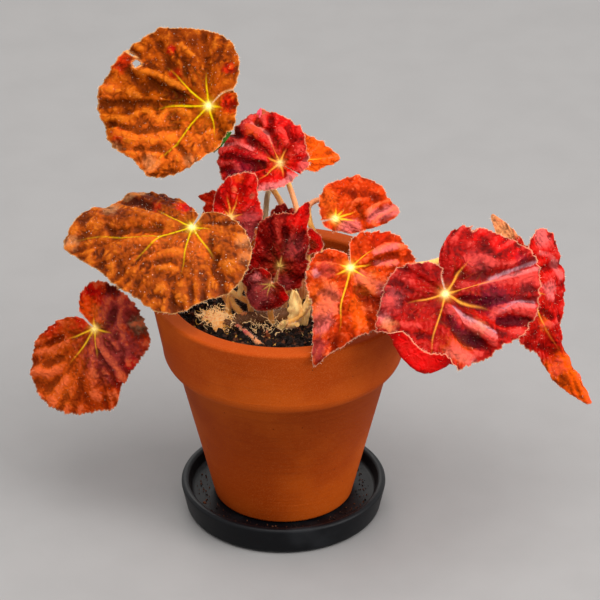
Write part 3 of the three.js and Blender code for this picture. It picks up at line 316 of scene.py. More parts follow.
        (-25, 30, -5), (-12, 34, -6), (-3, 45, -8), (2, 58, -8), (6, 74, 1), (10, 66, -1), (13, 50, -4),
        (20, 37, -3), (35, 33, -2), (65, 32, -1), (90, 33, -1), (108, 36, -2), (120, 34, -3), (132, 28, -2),
        (145, 20, -1)],
    route=[(22, 4, 107), (34, 5, 124), (53, 5, 131.5), (68, 5, 133.5), (84, 6, 137), (103, 3, 134),
        (114, -3, 127)],
    folds=[([(111, 33), (84, 84)], 2, -1.2), ([(125, 66), (104, 86)], 3, 1.2),
        ([(50, 27), (45, 63)], 2.4, 1.4), ([(11, 22), (19, 60)], 2, -1.2), ([(3, 34), (21, 76)], 2, 1),
        ([(-9, 81), (2, 65)], 2, -1), ([(-4, 97), (3, 79)], 3, 1)],
    washes=[("red", [(80, 50)], 30, 0.4), ("pink", [(118, 60), (100, 70), (84, 90)], 1.2, 0.5),
        ("pink", [(70, 30), (48, 62)], 1.2, 0.4), ("pink", [(120, 89)], 6, 0.5), ("pink", [(56, 53)], 5, 0.5),
        ("lit", [(4, 30)], 4, 0.4), ("orange", [(4, 78), (6, 100)], 12, 1), ("orange", [(3, 83)], 5, 0.7),
        ("pink", [(88, 80), (70, 85)], 2.5, 0.5), ("dark", [(-21, 73)], 3, 0.5), ("red", [(97, 62)], 6, 0.5)],
), dict(
    name="rolled_right", family="crimson", star=(116.5, 6, 141), normal=(-0.75, -0.45, 0.45),
    tip=(-0.43, 0.89, 0.17), pleat=0.6, puff=(3.5, 2, 0.3), tooth=0.2, ragged=0.45, veins=(-60, 0, 60),
    lit=(0, 0.3, 0), painted_glow=0.3,
    outline=[(-165, 4, -1), (-100, 5, -1), (-36, 7, -2), (-14, 15, -2), (-4, 26, -2), (0, 33, -1), (5, 25, 1),
        (20, 12, 2), (60, 7, 1), (120, 5, 0), (165, 4, 0)],
    route=[(18, 12, 107), (32, 13, 122), (52, 13, 129), (70, 13, 130.5), (88, 16, 134), (108, 17, 133),
        (118, 11, 136)],
    washes=[("pale", [(0, 50), (0, 100)], 8, 0.8)],
), dict(
    name="bud_right", family="crimson", star=(13, 6, 144), normal=(0.3, -0.8, 0.5), tip=(0.79, 0.51, 0.34),
    pleat=0.5, puff=(2.5, 1.5, 0.3), tooth=0.25, ragged=0.45, veins=(-50, -5, 45, 95), lit=(0, 0, 0, 0),
    painted_glow=0,
    outline=[(-150, 4, 0), (-77, 4.5, 0), (-49, 6.5, 0), (-26, 7.5, -1), (0, 8, -1), (21, 8, -1), (45, 9, -1),
        (67, 8, 0), (99, 6, 0), (160, 4, 0)],
    route=[(12, 1, 107), (12.5, 6, 128), (12, 10, 138)],
    washes=[("red", [(20, 60)], 6, 0.7), ("dark", [(0, 20)], 3, 0.8)],
), dict(
    name="behind_centre", family="maroon", star=(-1, 6, 155.5), normal=(0, -0.8, 0.6), tip=(0, 0.6, 0.8),
    pleat=1, puff=(2.5, 1.5, 0.4), tooth=0.3, ragged=0.45, veins=(-60, -20, 20, 70), lit=(0, 0, 0, 0), painted_glow=0,
    outline=[(-163, 5, 0), (-100, 6, 0), (-57, 9, -1), (-25, 10.5, -1), (3, 11, -2), (36, 8.5, -1),
        (72, 7, -1), (131, 5, 0), (165, 4, 0)],
    route=[(-3, 5, 107), (-3, 9, 132), (-2, 11, 148)],
    washes=[("dark", [(0, 60)], 5, 0.6)],
), dict(
    name="sliver_left", family="orange_red", star=(-26.5, 22, 157.5), normal=(-0.2, -0.65, 0.7),
    tip=(-0.89, 0.44, 0.15), pleat=1, puff=(3.5, 1.8, 0.3), tooth=0.2, frill=0.5, ragged=0.9,
    veins=(-90, -30, 0, 30, 80), lit=(0, 0.4, 0.5, 0.4, 0), painted_glow=0.4,
    outline=[(-174, 6, 0), (-102, 7, 0), (-52, 10, 0), (-21, 12, 0), (-6, 15, 0), (2, 17, 0), (10, 13, 0),
        (22, 13, 0), (38, 14, 0), (60, 12, 0), (90, 10, 0), (130, 8, 0), (170, 6, 0)],
    route=[(-16, 10, 107), (-18, 19, 132), (-22, 26, 146), (-25, 26, 152)],
    washes=[("red", [(0, 70)], 9, 0.6)],
))]

# Creeping stems that lie half in the soil, and old leaf stalks by the kind of their skin, as routes.
RHIZOME_STEMS = [
    [(-30, -16, 111), (-16, -11, 113), (0, -10, 114), (14, -6, 113), (26, 2, 111)],
    [(-4, -10, 113), (-5, 3, 113), (1, 14, 112), (12, 19, 110)],
]
OLD_STALKS = {
    "pale": [
        [(-26.5, -3, 106), (-27, -4, 116), (-25.7, -5, 125), (-22, -5.2, 122.5), (-15.5, -5, 118),
         (-10.9, -5, 113), (-6, -6, 108)],
        [(-25.5, -4.5, 122), (-24.5, -5.5, 119), (-21.2, -8, 115.3), (-17.5, -12, 111.2), (-16, -15, 106)],
        [(-5, -15, 109), (0, -18, 114), (5, -18.5, 116.5), (9.5, -18, 120), (12.2, -17, 124.8),
         (13, -16, 129)],
        [(2, -14, 110), (3, -20, 114), (7, -27, 119)],
        [(18, -4, 112), (20, -14, 117), (18, -26, 114)],
        [(24, 1, 112), (28, 8, 118), (28, 14, 126)],
    ],
    "rosy": [
        [(-30, -7, 109), (-26, -11, 110.8), (-20.4, -20, 112.3), (-15, -29, 112.9), (-11, -36, 112.7)],
        [(-12, -16, 108), (-8, -21, 110.5), (-10, -26, 108.5)],
    ],
}
# Papery scales and leaf scraps: name, foot, tip, width, the way the face looks, and the paint.
SCRAPS = [
    ("stipule_front", (6.6, -18, 110), (5.8, -14.5, 131), 8, (0.3, -1, 0.3), "husk"),
    ("stipule_right", (10, -17, 113), (14, -14.5, 131), 4.5, (-0.5, -1, 0.2), "husk"),
    ("stipule_left", (-21.5, -6, 122), (-20.2, -6, 133.5), 3, (0.3, -1, 0.2), "husk"),
    ("stipule_low", (-3, -17, 110), (1.5, -20, 117), 4, (0.2, -0.6, 1), "husk"),
    ("stipule_centre", (-9, -8, 110), (-11, -9, 119), 4.5, (0.2, -1, 0.4), "rhizome"),
    ("stipule_back", (10, 6, 108), (13, 9, 124), 5, (0.4, 1, 0.3), "husk"),
    ("dried_scale_left", (-21, -10, 112), (-18.5, -13, 117.5), 3.6, (0.2, -0.8, 0.6), "stalk_rose"),
    ("dried_scale_right", (-4, -22, 107), (-8, -25, 112), 5, (0.3, -0.8, 0.6), "dried"),
    ("dried_scale_front", (3, -26, 106), (-2, -28, 111), 5.5, (-0.2, -0.8, 0.7), "dried"),
    ("dried_scale_far", (-40, -10, 109), (-36, -13, 114), 5, (0.3, -0.7, 0.7), "stalk_rose"),
    ("pink_scrap", (-12.2, 41, 194.5), (-11.2, 45, 200.2), 4, (-0.4, -0.8, 0.4), "rose"),
    ("green_scrap", (-25.8, 8, 207), (-33.8, 5, 197), 3.4, (-0.1, -0.72, 0.69), "green"),
]
# Tufts of fibres on the soil: name, centre, spread, count, length, and the paint.
TUFTS = [
    ("moss_left", (-32.5, -12, 112), (3.4, 3.2, 2.8), 560, 5, "moss"),
    ("moss_warm", (-31, -13, 111), (4.4, 3.4, 2), 260, 6, "stalk"),
    ("moss_front", (-37, -20, 108), (4, 3, 0.8), 160, 4, "moss"),
    ("fibres_centre", (-6, -16, 110), (6, 4, 2), 240, 7, "moss"),
    ("fibres_front", (-5, -25, 107), (6, 3, 1), 120, 6, "dried"),
    ("fibres_right", (6, -20, 108), (6, 3, 1.4), 70, 7, "husk"),
    ("fibres_back", (6, 14, 108), (10, 5, 1.2), 90, 7, "dried"),
]

SAUCER_FLOOR = 9.1 * MM     # height of the saucer's floor inside
LOWEST_FIBRE = 105.5 * MM   # height that the fibres on the soil don't go below
FULL_TURN = 6.3             # upper end of a random turn, in radians

# Hairs on a square metre of skin, and crumbs on a square metre of ground.
PER_SQUARE_METRE = {
    "rhizome": 600000, "old_stalks": 1800000, "stalk": 1100000, "fringe": 5000000, "face": 70000,
    "soil": 260000, "saucer": 190000,
}

# Blade rules shared with the solids.
CUT_SPREAD = 35          # degrees over which the bend of the cut dies out
OUTER_LOBE = 40          # degrees that the pleat beyond the last vein takes
PLEAT_FALL = 0.8         # the pleat's height runs through this share of a half wave
FULL_PLEAT_REACH = 0.65  # share of the leaf's greatest reach from where the pleat is whole
FULL_PLEAT_SHARE = 0.4   # share of the way to the margin by which it has grown to its height
SIDE_VEIN_STARTS = (0.2, 0.36, 0.52, 0.67, 0.81)   # shares of the reach where they leave a main vein
SIDE_VEIN_RUN = 0.26     # share of the reach that a side vein gains on its way to the middle of a lobe

# Blade rules of the finer form.
LARGE_LEAF, SMALL_LEAF = 36, 20   # greatest reaches at which relief is whole and the mesh gets coarser
PUCKER_TRIES = 2600               # places that are tried for the middles of puckers
# The star's glow is painted: a pale colour and an emission that die out over these distances.
STAR_HALO, STAR_CORE = 3.2, 1.6   # distances from the star over which its glow dies out
WASH_EDGE = ((6.0, 0.16), (2.4, 0.13), (1.2, 0.08))   # (size, height) of the ripples in a wash's edge
MARGIN_POINTS = 400               # points of the outline that its columns are spread by
POINTS_AT_ONCE = 4000             # points of a blade that are measured together


# ---- sizes and colours that a user would change ----
def length(name, description, millimetres):
    """A property for a length, given in millimetres and kept in metres."""
    return FloatProperty(name=name, description=description, default=millimetres * MM, min=0,
                         subtype="DISTANCE", unit="LENGTH")


def linear(hex_colour):
    """A colour written as on a paint chart, as the linear values that shaders take."""
    channels = [int(hex_colour[i:i + 2], 16) / 255 for i in (1, 3, 5)]
    return tuple(c / 12.92 if c <= 0.04045 else ((c + 0.055) / 1.055) ** 2.4 for c in channels)


def colour(name, description, hex_colour):
    """A property for a colour, given as on a paint chart and kept as linear values."""
    return FloatVectorProperty(name=name, description=description, default=linear(hex_colour),
                               size=3, min=0, max=1, subtype="COLOR")


class BegoniaSizes(PropertyGroup):
    """Sizes of the plant's details and of its mesh"""
    blade_thickness: length("Blade thickness", "Thickness of a leaf blade near its star", 0.4)
    mesh_spacing: length("Mesh spacing", "Distance between the points of a leaf's surface", 0.75)
    vein_width: length("Vein width", "Width of a main vein near the star", 0.9)
    tooth_spacing: length("Tooth spacing", "Distance from one tooth of the margin to the next", 2.1)
    hair_length: length("Hair length", "Longest hair on margins and stalks", 1.3)
    hair_width: length("Hair width", "Width of a hair at its root", 0.13)
    stalk_radius: length("Stalk radius", "Radius of a leaf stalk halfway up", 1.25)
    rhizome_radius: length("Rhizome radius", "Radius of the creeping stem", 3.6)
    turned_segments: IntProperty(name="Turned segments", description="Faces round the pot and saucer",
                                 default=192, min=24, max=512)


class BegoniaColours(PropertyGroup):
    """Colours of all that isn't a leaf blade"""
    clay: colour("Clay", "Unglazed pot", "#9a3802")
    clay_bloom: colour("Clay bloom", "Dry, lighter film on the clay", "#ae4808")
    glaze: colour("Saucer", "Matte charcoal of the saucer", "#050609")
    soil: colour("Soil", "Dark bark of the potting mix", "#120b07")
    soil_light: colour("Soil fibres", "Brown bits in the potting mix", "#5a2f18")
    stalk: colour("Stalk", "Tan skin of the stalks", "#f4b454")
    stalk_rose: colour("Rosy stalk", "Rosy stretches of the stalks", "#e08e58")
    stalk_green: colour("Young stalk", "Grey green of a younger stalk", "#a08a60")
    rhizome: colour("Rhizome", "Bark of the creeping stem", "#6e441e")
    green: colour("Green", "Green of a young leaf", "#2c5c0c")
    husk: colour("Husk", "Papery scales at the stalks' feet", "#f8d084")
    dried: colour("Dried", "Dried scales and fibres", "#7a3a1c")
    moss: colour("Moss", "Tan, fluffy fibres on the soil", "#ffd89c")
    rose: colour("Rose", "Scrap of a young blade", "#e0485a")
    hair: colour("Hair", "Hairs on margins and stalks", "#ffd9b8")
    floor: colour("Floor", "Plain floor under the saucer", "#888685")


# In each family the crest colour is a painted highlight on the puckers' tops, and the hollow colour is
# painted shade in the valleys between them.
LEAF_FAMILIES = {
    "amber": dict(
        body="#ac4802", crest="#f0801c", hollow="#541800", vein="#e0c000", star="#ffffb0", rim="#ffc078",
        under="#b8401c",
    ),
    "orange_red": dict(
        body="#cc3604", crest="#ff7844", hollow="#861802", vein="#fac424", star="#ffffb0", rim="#ffc098",
        under="#d6300f",
    ),
    "crimson": dict(
        body="#b81006", crest="#f4544a", hollow="#500204", vein="#f0a032", star="#ffffb0", rim="#ffb48c",
        under="#e60503",
    ),
    "maroon": dict(
        body="#840a04", crest="#c43a2c", hollow="#380001", vein="#c89a48", star="#d8c868", rim="#e8805c",
        under="#9a0a08",
    ),
}
LEAF_COLOUR_NAMES = {
    "body": "Main colour between crests and hollows",
    # crest: painted highlight; hollow: painted shade
    "crest": "Tops of the puckers",
    "hollow": "Valleys between the puckers",
    "vein": "Main veins near the star",
    "star": "Star where the stalk joins",
    "rim": "Hairy margin",
    "under": "Underside",
}


class BegoniaWashes(PropertyGroup):
    """Colours that wash over stretches of the leaf blades"""
    red: colour("Red", "Bright red patches", "#dc0a05")
    # partly dark patches of the tissue, partly painted shade along the hollows
    dark: colour("Dark", "Dark patches", "#520604")
    pale: colour("Pale", "Pale, dry-looking margins", "#f8a868")
    # painted light: brighter patches where the blade is lit
    lit: colour("Lit", "Brighter, thinner tissue", "#f06a1c")
    # painted highlight: a dusty rose sheen
    rose: colour("Rose", "Dusky rose patches", "#a83c3c")
    # painted shade in the deep valleys between rosy crests
    plum_shade: colour("Plum", "Deep valleys between rosy crests", "#64102c")
    # painted highlight along the crests of ridges
    pink: colour("Pink", "Light crests of ridges", "#f88480")
    # painted highlight: a lavender sheen beside the crests
    lilac_highlight: colour("Bloom", "Lavender bloom", "#dca4b0")
    dry: colour("Dry", "Dried patches", "#8c6a4c")
    orange: colour("Orange", "Orange tips", "#ff6008")
    amber: colour("Amber", "Brown-orange stretches", "#aa4208")


def leaf_family_group(family):
    """A property group with one colour for each part of the leaves of a family."""
    fields = {
        part: colour(part.capitalize(), LEAF_COLOUR_NAMES[part], value)
        for part, value in LEAF_FAMILIES[family].items()
    }
    return type(f"Begonia_{family}", (PropertyGroup,), {"__annotations__": fields})


# The property groups, by the names under which a scene keeps them.
GROUPS = {
    "begonia_sizes": BegoniaSizes, "begonia_colours": BegoniaColours, "begonia_washes": BegoniaWashes,
    **{f"begonia_{family}": leaf_family_group(family) for family in LEAF_FAMILIES},
}


# ---- small tools ----
def unit(vectors):
    """The vectors at length 1."""
    vectors = np.asarray(vectors, float)
    return vectors / np.maximum(np.linalg.norm(vectors, axis=-1, keepdims=True), 1e-12)


def quarter_turn(vectors):
    """Flat vectors turned by a quarter."""
    return np.stack([-vectors[..., 1], vectors[..., 0]], -1)


def smooth_step(low, high, x):
    """An even S from 0 at low to 1 at high."""
    t = np.clip((x - low) / (high - low), 0, 1)
    return t * t * (3 - 2 * t)


def ripple(points, size, seed, waves=11):
    """A smooth random swell over the points, mostly within -1 and 1, with waves about size long."""
    rng = np.random.default_rng(seed)
    points = np.asarray(points, float)
    directions = unit(rng.normal(size=(waves, points.shape[-1]))) * rng.uniform(0.7, 1.5, (waves, 1))
    phases = rng.uniform(0, 2 * math.pi, waves)
    return np.sin(points @ directions.T * (2 * math.pi / size) + phases).sum(-1) / math.sqrt(waves)


def smooth_value(rows, column, x):
    """A smooth line through rows of (x, y...): the values in a column at x."""
    rows = np.asarray(rows, float)
    xs, ys = rows[:, 0], rows[:, column]
    rises = np.diff(ys) / np.diff(xs)
    widths = np.diff(xs)
    slopes = np.empty(len(xs))
    slopes[0], slopes[-1] = rises[0], rises[-1]
    slopes[1:-1] = (rises[:-1] * widths[1:] + rises[1:] * widths[:-1]) / (widths[:-1] + widths[1:])
    i = np.clip(np.searchsorted(xs, x, side="left") - 1, 0, len(xs) - 2)
    s = (x - xs[i]) / widths[i]
    return (ys[i] * (1 + 2 * s) * (1 - s) ** 2 + slopes[i] * widths[i] * s * (1 - s) ** 2
            + ys[i + 1] * s * s * (3 - 2 * s) + slopes[i + 1] * widths[i] * s * s * (s - 1))


def smooth_route(points, steps_per_span):
    """Points of a centripetal curve through the given points."""
    points = np.asarray(points, float)
    ends = np.vstack([2 * points[0] - points[1], points, 2 * points[-1] - points[-2]])
    line = []
    for i in range(len(points) - 1):
        a, b, c, d = ends[i:i + 4]
        before, here, after = (max(np.linalg.norm(q - p) ** 0.5, 1e-4) for p, q in ((a, b), (b, c), (c, d)))
        leave = ((b - a) / before - (c - a) / (before + here) + (c - b) / here) * here
        arrive = ((c - b) / here - (d - b) / (here + after) + (d - c) / after) * here
        t = np.linspace(0, 1, steps_per_span, endpoint=False)[:, None]
        line.append(b + leave * t + (3 * (c - b) - 2 * leave - arrive) * t ** 2
                    + (2 * (b - c) + leave + arrive) * t ** 3)
    return np.vstack([*line, points[-1:]])


def run_along(line):
    """How far along a line each of its points lies."""
    return np.concatenate([[0], np.cumsum(np.linalg.norm(np.diff(line, axis=0), axis=1))])


def in_chunks(measure, points):
    """What measure says of the points, a part of them at a time so that its tables stay small."""
    parts = range(0, len(points), POINTS_AT_ONCE)
    return np.concatenate([measure(points[first:first + POINTS_AT_ONCE, None]) for first in parts])


def nearest_line(points, starts, ends):
    """Distance from each flat point to the nearest of the straight stretches."""
    runs = ends - starts
    lengths = np.maximum((runs ** 2).sum(-1), 1e-9)

    def measure(part):
        along = np.clip(((part - starts) * runs).sum(-1) / lengths, 0, 1)
        gaps = part - starts - along[..., None] * runs
        return np.sqrt((gaps ** 2).sum(-1).min(-1))

    return in_chunks(measure, points)


def grid_normals(grid):
    """The direction that a grid of points faces at each of them."""
    return unit(np.cross(np.gradient(grid, axis=0), np.gradient(grid, axis=1)))


def grid_quads(at):
    """The four-sided faces of a grid, from the numbers of its points."""
    return np.stack([at[:-1, :-1], at[1:, :-1], at[1:, 1:], at[:-1, 1:]], -1).reshape(-1, 4)


def new_mesh(name, vertices, faces, smooth=True):
    """A mesh of the given points and faces."""
    mesh = bpy.data.meshes.new(name)
    mesh.from_pydata(np.asarray(vertices).tolist(), [], faces)
    mesh.polygons.foreach_set("use_smooth", [smooth] * len(mesh.polygons))
    mesh.update()
    return mesh


def new_object(name, data):
    """An object at the origin, linked to the scene."""
    piece = bpy.data.objects.new(name, data)
    bpy.context.scene.collection.objects.link(piece)
    return piece


def store(mesh, name, values, kind="FLOAT", domain="POINT"):
    """Keeps one value for each point or face as an attribute."""
    attribute = mesh.attributes.new(name, kind, domain)
    attribute.data.foreach_set("value", values)


class Graph:
    """Short ways to add nodes to a shader or geometry tree."""

    def __init__(self, tree):
        self.tree = tree

    def feed(self, socket, value):
        """Links an input to a socket, or sets it to a constant."""
        if isinstance(value, bpy.types.NodeSocket):
            self.tree.links.new(value, socket)
        else:
            socket.default_value = value

    def add(self, kind, inputs=None, **settings):
        """A new node."""
        node = self.tree.nodes.new(kind)
        for key, value in settings.items():
            setattr(node, key, value)
        for key, value in (inputs or {}).items():
            self.feed(node.inputs[key], value)
        return node

    def out(self, kind, inputs=None, **settings):
        """The first output of a new node."""
        return self.add(kind, inputs, **settings).outputs[0]

    def math(self, operation, a, b=0.0):
        return self.out("ShaderNodeMath", {0: a, 1: b}, operation=operation)

    def times(self, a, b):
        return self.math("MULTIPLY", a, b)

    def scaled(self, vector, factor):
        return self.out("ShaderNodeVectorMath", {0: vector, "Scale": factor}, operation="SCALE")

    def about_zero(self, noise):
        """A noise's colour as a vector that goes either way."""
        return self.out("ShaderNodeVectorMath", {0: noise, 1: (0.5, 0.5, 0.5)}, operation="SUBTRACT")

    def mix(self, factor, a, b):
        """One colour over another."""
        a, b = (c if isinstance(c, bpy.types.NodeSocket) else (*c, 1) for c in (a, b))
        return self.add("ShaderNodeMix", {0: factor, 6: a, 7: b}, data_type="RGBA").outputs[2]

    def ramp(self, value, low, high, to_low=0.0, to_high=1.0):
        """A value from low to high, as an even S between two others."""
        return self.out("ShaderNodeMapRange", {0: value, 1: low, 2: high, 3: to_low, 4: to_high},
                        interpolation_type="SMOOTHSTEP")


class ShapeTree(Graph):
    """A Geometry Nodes tree with named inputs, which ends in realised and painted geometry."""

    SOCKETS = {"float": "NodeSocketFloat", "int": "NodeSocketInt", "material": "NodeSocketMaterial"}

    def __init__(self, name, inputs):
        super().__init__(bpy.data.node_groups.new(name, "GeometryNodeTree"))
        face = self.tree.interface
        face.new_socket("Geometry", in_out="INPUT", socket_type="NodeSocketGeometry")
        for label, kind in inputs.items():
            face.new_socket(label, in_out="INPUT", socket_type=self.SOCKETS[kind])
        face.new_socket("Geometry", in_out="OUTPUT", socket_type="NodeSocketGeometry")
        self.given = self.tree.nodes.new("NodeGroupInput").outputs
        self.end = self.tree.nodes.new("NodeGroupOutput")

    def finish(self, geometry):
        """The tree, with this geometry as its result."""
        self.tree.links.new(geometry, self.end.inputs[0])
        return self.tree

    def realise(self, geometry):
        return self.out("GeometryNodeRealizeInstances", {0: geometry})

    def paint(self, geometry, label="Skin"):
        """Geometry with the material that a named input gives."""
        return self.out("GeometryNodeSetMaterial", {"Geometry": geometry, "Material": self.given[label]})

    def random_vector(self, low, high, seed):
        return self.out("FunctionNodeRandomValue", {0: low, 1: high, "Seed": seed},
                        data_type="FLOAT_VECTOR")

    def random_number(self, low, high, seed):
        return self.add("FunctionNodeRandomValue", {2: low, 3: high, "Seed": seed},
                        data_type="FLOAT").outputs[1]

    def hairs(self, surface, selection, density, seed):
        """Tapered hairs that stand on a surface, leaning at random."""
        spots = self.add("GeometryNodeDistributePointsOnFaces", {
            "Mesh": surface, "Selection": selection, "Density": density, "Seed": seed,
        }).outputs
        lean = self.random_vector((-0.5, -0.5, 0), (0.5, 0.5, FULL_TURN), seed)
        turn = self.out("FunctionNodeEulerToRotation", {0: lean})
        stand = self.out("FunctionNodeRotateRotation", {"Rotation": spots["Rotation"], "Rotate By": turn},
                         rotation_space="LOCAL")
        hair = self.out("GeometryNodeMeshCone", {
            "Vertices": 3, "Radius Top": 0.0, "Depth": self.given["Hair Length"],
            "Radius Bottom": self.times(self.given["Hair Width"], 0.5),
        })
        placed = self.out("GeometryNodeInstanceOnPoints", {
            "Points": spots["Points"], "Instance": hair, "Rotation": stand,
            "Scale": self.random_number(0.35, 1.0, seed),
        })
        return self.paint(self.realise(placed), "Hair")

    def join(self, *parts):
        node = self.add("GeometryNodeJoinGeometry")
        for part in parts:
            self.tree.links.new(part, node.inputs[0])
        return node.outputs[0]


def shaped(piece, tree, name, **values):
    """The plain mesh that a Geometry Nodes tree makes of a piece, as a new object at the origin."""
    modifier = piece.modifiers.new("shape", "NODES")
    modifier.node_group = tree
    labels = {label.replace(" ", "_").lower(): label for label in tree.interface.items_tree.keys()}
    for key, value in values.items():
        modifier[tree.interface.items_tree[labels[key]].identifier] = value
    graph = bpy.context.evaluated_depsgraph_get()
    mesh = bpy.data.meshes.new_from_object(piece.evaluated_get(graph), depsgraph=graph)
    piece.modifiers.remove(modifier)
    base = piece.data
    bpy.data.objects.remove(piece)
    if base.users == 0:
        (bpy.data.meshes if isinstance(base, bpy.types.Mesh) else bpy.data.curves).remove(base)
    mesh.name = name
    return new_object(name, mesh)


def settle(piece, slot, *nodes):
    """Hands a finished piece to the frame."""
    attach(piece, BODY)
    if nodes:
        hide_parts(*nodes)


# ---- Geometry Nodes trees ----
def turned_tree():
    """A piece turned on a wheel: the line of points in the XZ plane goes round the Z axis."""
    t = ShapeTree("Turned piece", {"Segments": "int", "Skin": "material"})
    profile = t.given["Geometry"]
    count = t.add("GeometryNodeAttributeDomainSize", {0: profile}).outputs["Point Count"]
    around = t.out("FunctionNodeIntegerMath", {0: t.given["Segments"], 1: 1}, operation="ADD")
    grid = t.out("GeometryNodeMeshGrid",
                 {"Size X": 1.0, "Size Y": 1.0, "Vertices X": count, "Vertices Y": around})
    index = t.out("GeometryNodeInputIndex")
    row = t.out("FunctionNodeIntegerMath", {0: index, 1: around}, operation="DIVIDE_FLOOR")
    step = t.out("FunctionNodeIntegerMath", {0: index, 1: around}, operation="MODULO")
    place = t.out("GeometryNodeInputPosition")
    spot = t.out("GeometryNodeSampleIndex", {"Geometry": profile, "Value": place, "Index": row},
                 data_type="FLOAT_VECTOR")
    parts = t.add("ShaderNodeSeparateXYZ", {0: spot}).outputs
    angle = t.math("DIVIDE", t.times(step, 2 * math.pi), t.given["Segments"])
    x = t.times(parts["X"], t.math("COSINE", angle))
    y = t.times(parts["X"], t.math("SINE", angle))
    where = t.out("ShaderNodeCombineXYZ", {"X": x, "Y": y, "Z": parts["Z"]})
    moved = t.out("GeometryNodeSetPosition", {"Geometry": grid, "Position": where})
    closed = t.out("GeometryNodeMergeByDistance", {"Geometry": moved, "Distance": 1e-6})
    return t.finish(t.paint(t.realise(closed)))


def stalk_tree():
    """Round stalks along curves, with knobs and standing hairs. A curve's radius is the stalk's."""
    t = ShapeTree("Hairy stalk", {
        "Sides": "int", "Knob Height": "float", "Knob Size": "float", "Hair Length": "float",
        "Hair Width": "float", "Hair Density": "float", "Seed": "int", "Skin": "material", "Hair": "material",
    })
    tube = t.out("GeometryNodeCurveToMesh", {
        "Curve": t.given["Geometry"], "Scale": t.out("GeometryNodeInputRadius"), "Fill Caps": True,
        "Profile Curve": t.out("GeometryNodeCurvePrimitiveCircle",
                               {"Resolution": t.given["Sides"], "Radius": 1.0}),
    })
    scale = t.math("DIVIDE", 1.0, t.given["Knob Size"])
    swell = t.out("ShaderNodeTexNoise", {"Scale": scale, "Detail": 2.0})
    height = t.times(t.math("SUBTRACT", swell, 0.5), t.given["Knob Height"])
    push = t.scaled(t.out("GeometryNodeInputNormal"), height)
    skin = t.out("GeometryNodeSetPosition", {"Geometry": tube, "Offset": push})
    skin = t.out("GeometryNodeSetShadeSmooth", {"Geometry": skin, "Shade Smooth": True})
    hairs = t.hairs(skin, True, t.given["Hair Density"], t.given["Seed"])
    return t.finish(t.join(t.paint(skin), hairs))


def blade_tree():
    """A leaf blade with a fringe of hairs on its edge and sparse hairs on its faces."""
    t = ShapeTree("Hairy blade", {
        "Hair Length": "float", "Hair Width": "float", "Fringe Density": "float", "Face Density": "float",
        "Seed": "int", "Skin": "material", "Hair": "material",
    })
    edge = t.out("GeometryNodeInputNamedAttribute", {"Name": "edge"}, data_type="BOOLEAN")
    face = t.out("FunctionNodeBooleanMath", {0: edge}, operation="NOT")
    blade = t.given["Geometry"]
    fringe = t.hairs(blade, edge, t.given["Fringe Density"], t.given["Seed"])
    down = t.hairs(blade, face, t.given["Face Density"], t.given["Seed"])
    return t.finish(t.join(t.paint(blade), fringe, down))


def crumb_tree():
    """Crumbs strewn over a surface, each turned and squashed at random."""
    t = ShapeTree("Crumbs", {
        "Density": "float", "Smallest": "float", "Largest": "float", "Flatness": "float", "Sink": "float",
        "Seed": "int", "Skin": "material",
    })
    seed = t.given["Seed"]
    spots = t.out("GeometryNodeDistributePointsOnFaces",
                  {"Mesh": t.given["Geometry"], "Density": t.given["Density"], "Seed": seed})
    lump = t.out("GeometryNodeMeshIcoSphere", {"Radius": 0.5, "Subdivisions": 2})
    noise = t.add("ShaderNodeTexNoise", {"Scale": 1.9, "Detail": 1.0}).outputs["Color"]
    crumb = t.out("GeometryNodeSetPosition", {"Geometry": lump, "Offset": t.scaled(t.about_zero(noise), 1.1)})
    turn = t.random_vector((0, 0, 0), (FULL_TURN,) * 3, seed)
    size = t.random_number(t.given["Smallest"], t.given["Largest"], seed)
    low = t.out("ShaderNodeCombineXYZ", {"X": 0.7, "Y": 0.5, "Z": t.given["Flatness"]})
    scale = t.scaled(t.random_vector(low, (1.5, 1.1, 0.9), seed), size)
    drop = t.out("ShaderNodeCombineXYZ", {"Z": t.times(size, t.given["Sink"])})
    seated = t.out("GeometryNodeSetPosition", {"Geometry": spots, "Offset": drop})
    strewn = t.out("GeometryNodeInstanceOnPoints",
                   {"Points": seated, "Instance": crumb, "Rotation": turn, "Scale": scale})
    return t.finish(t.paint(t.realise(strewn)))


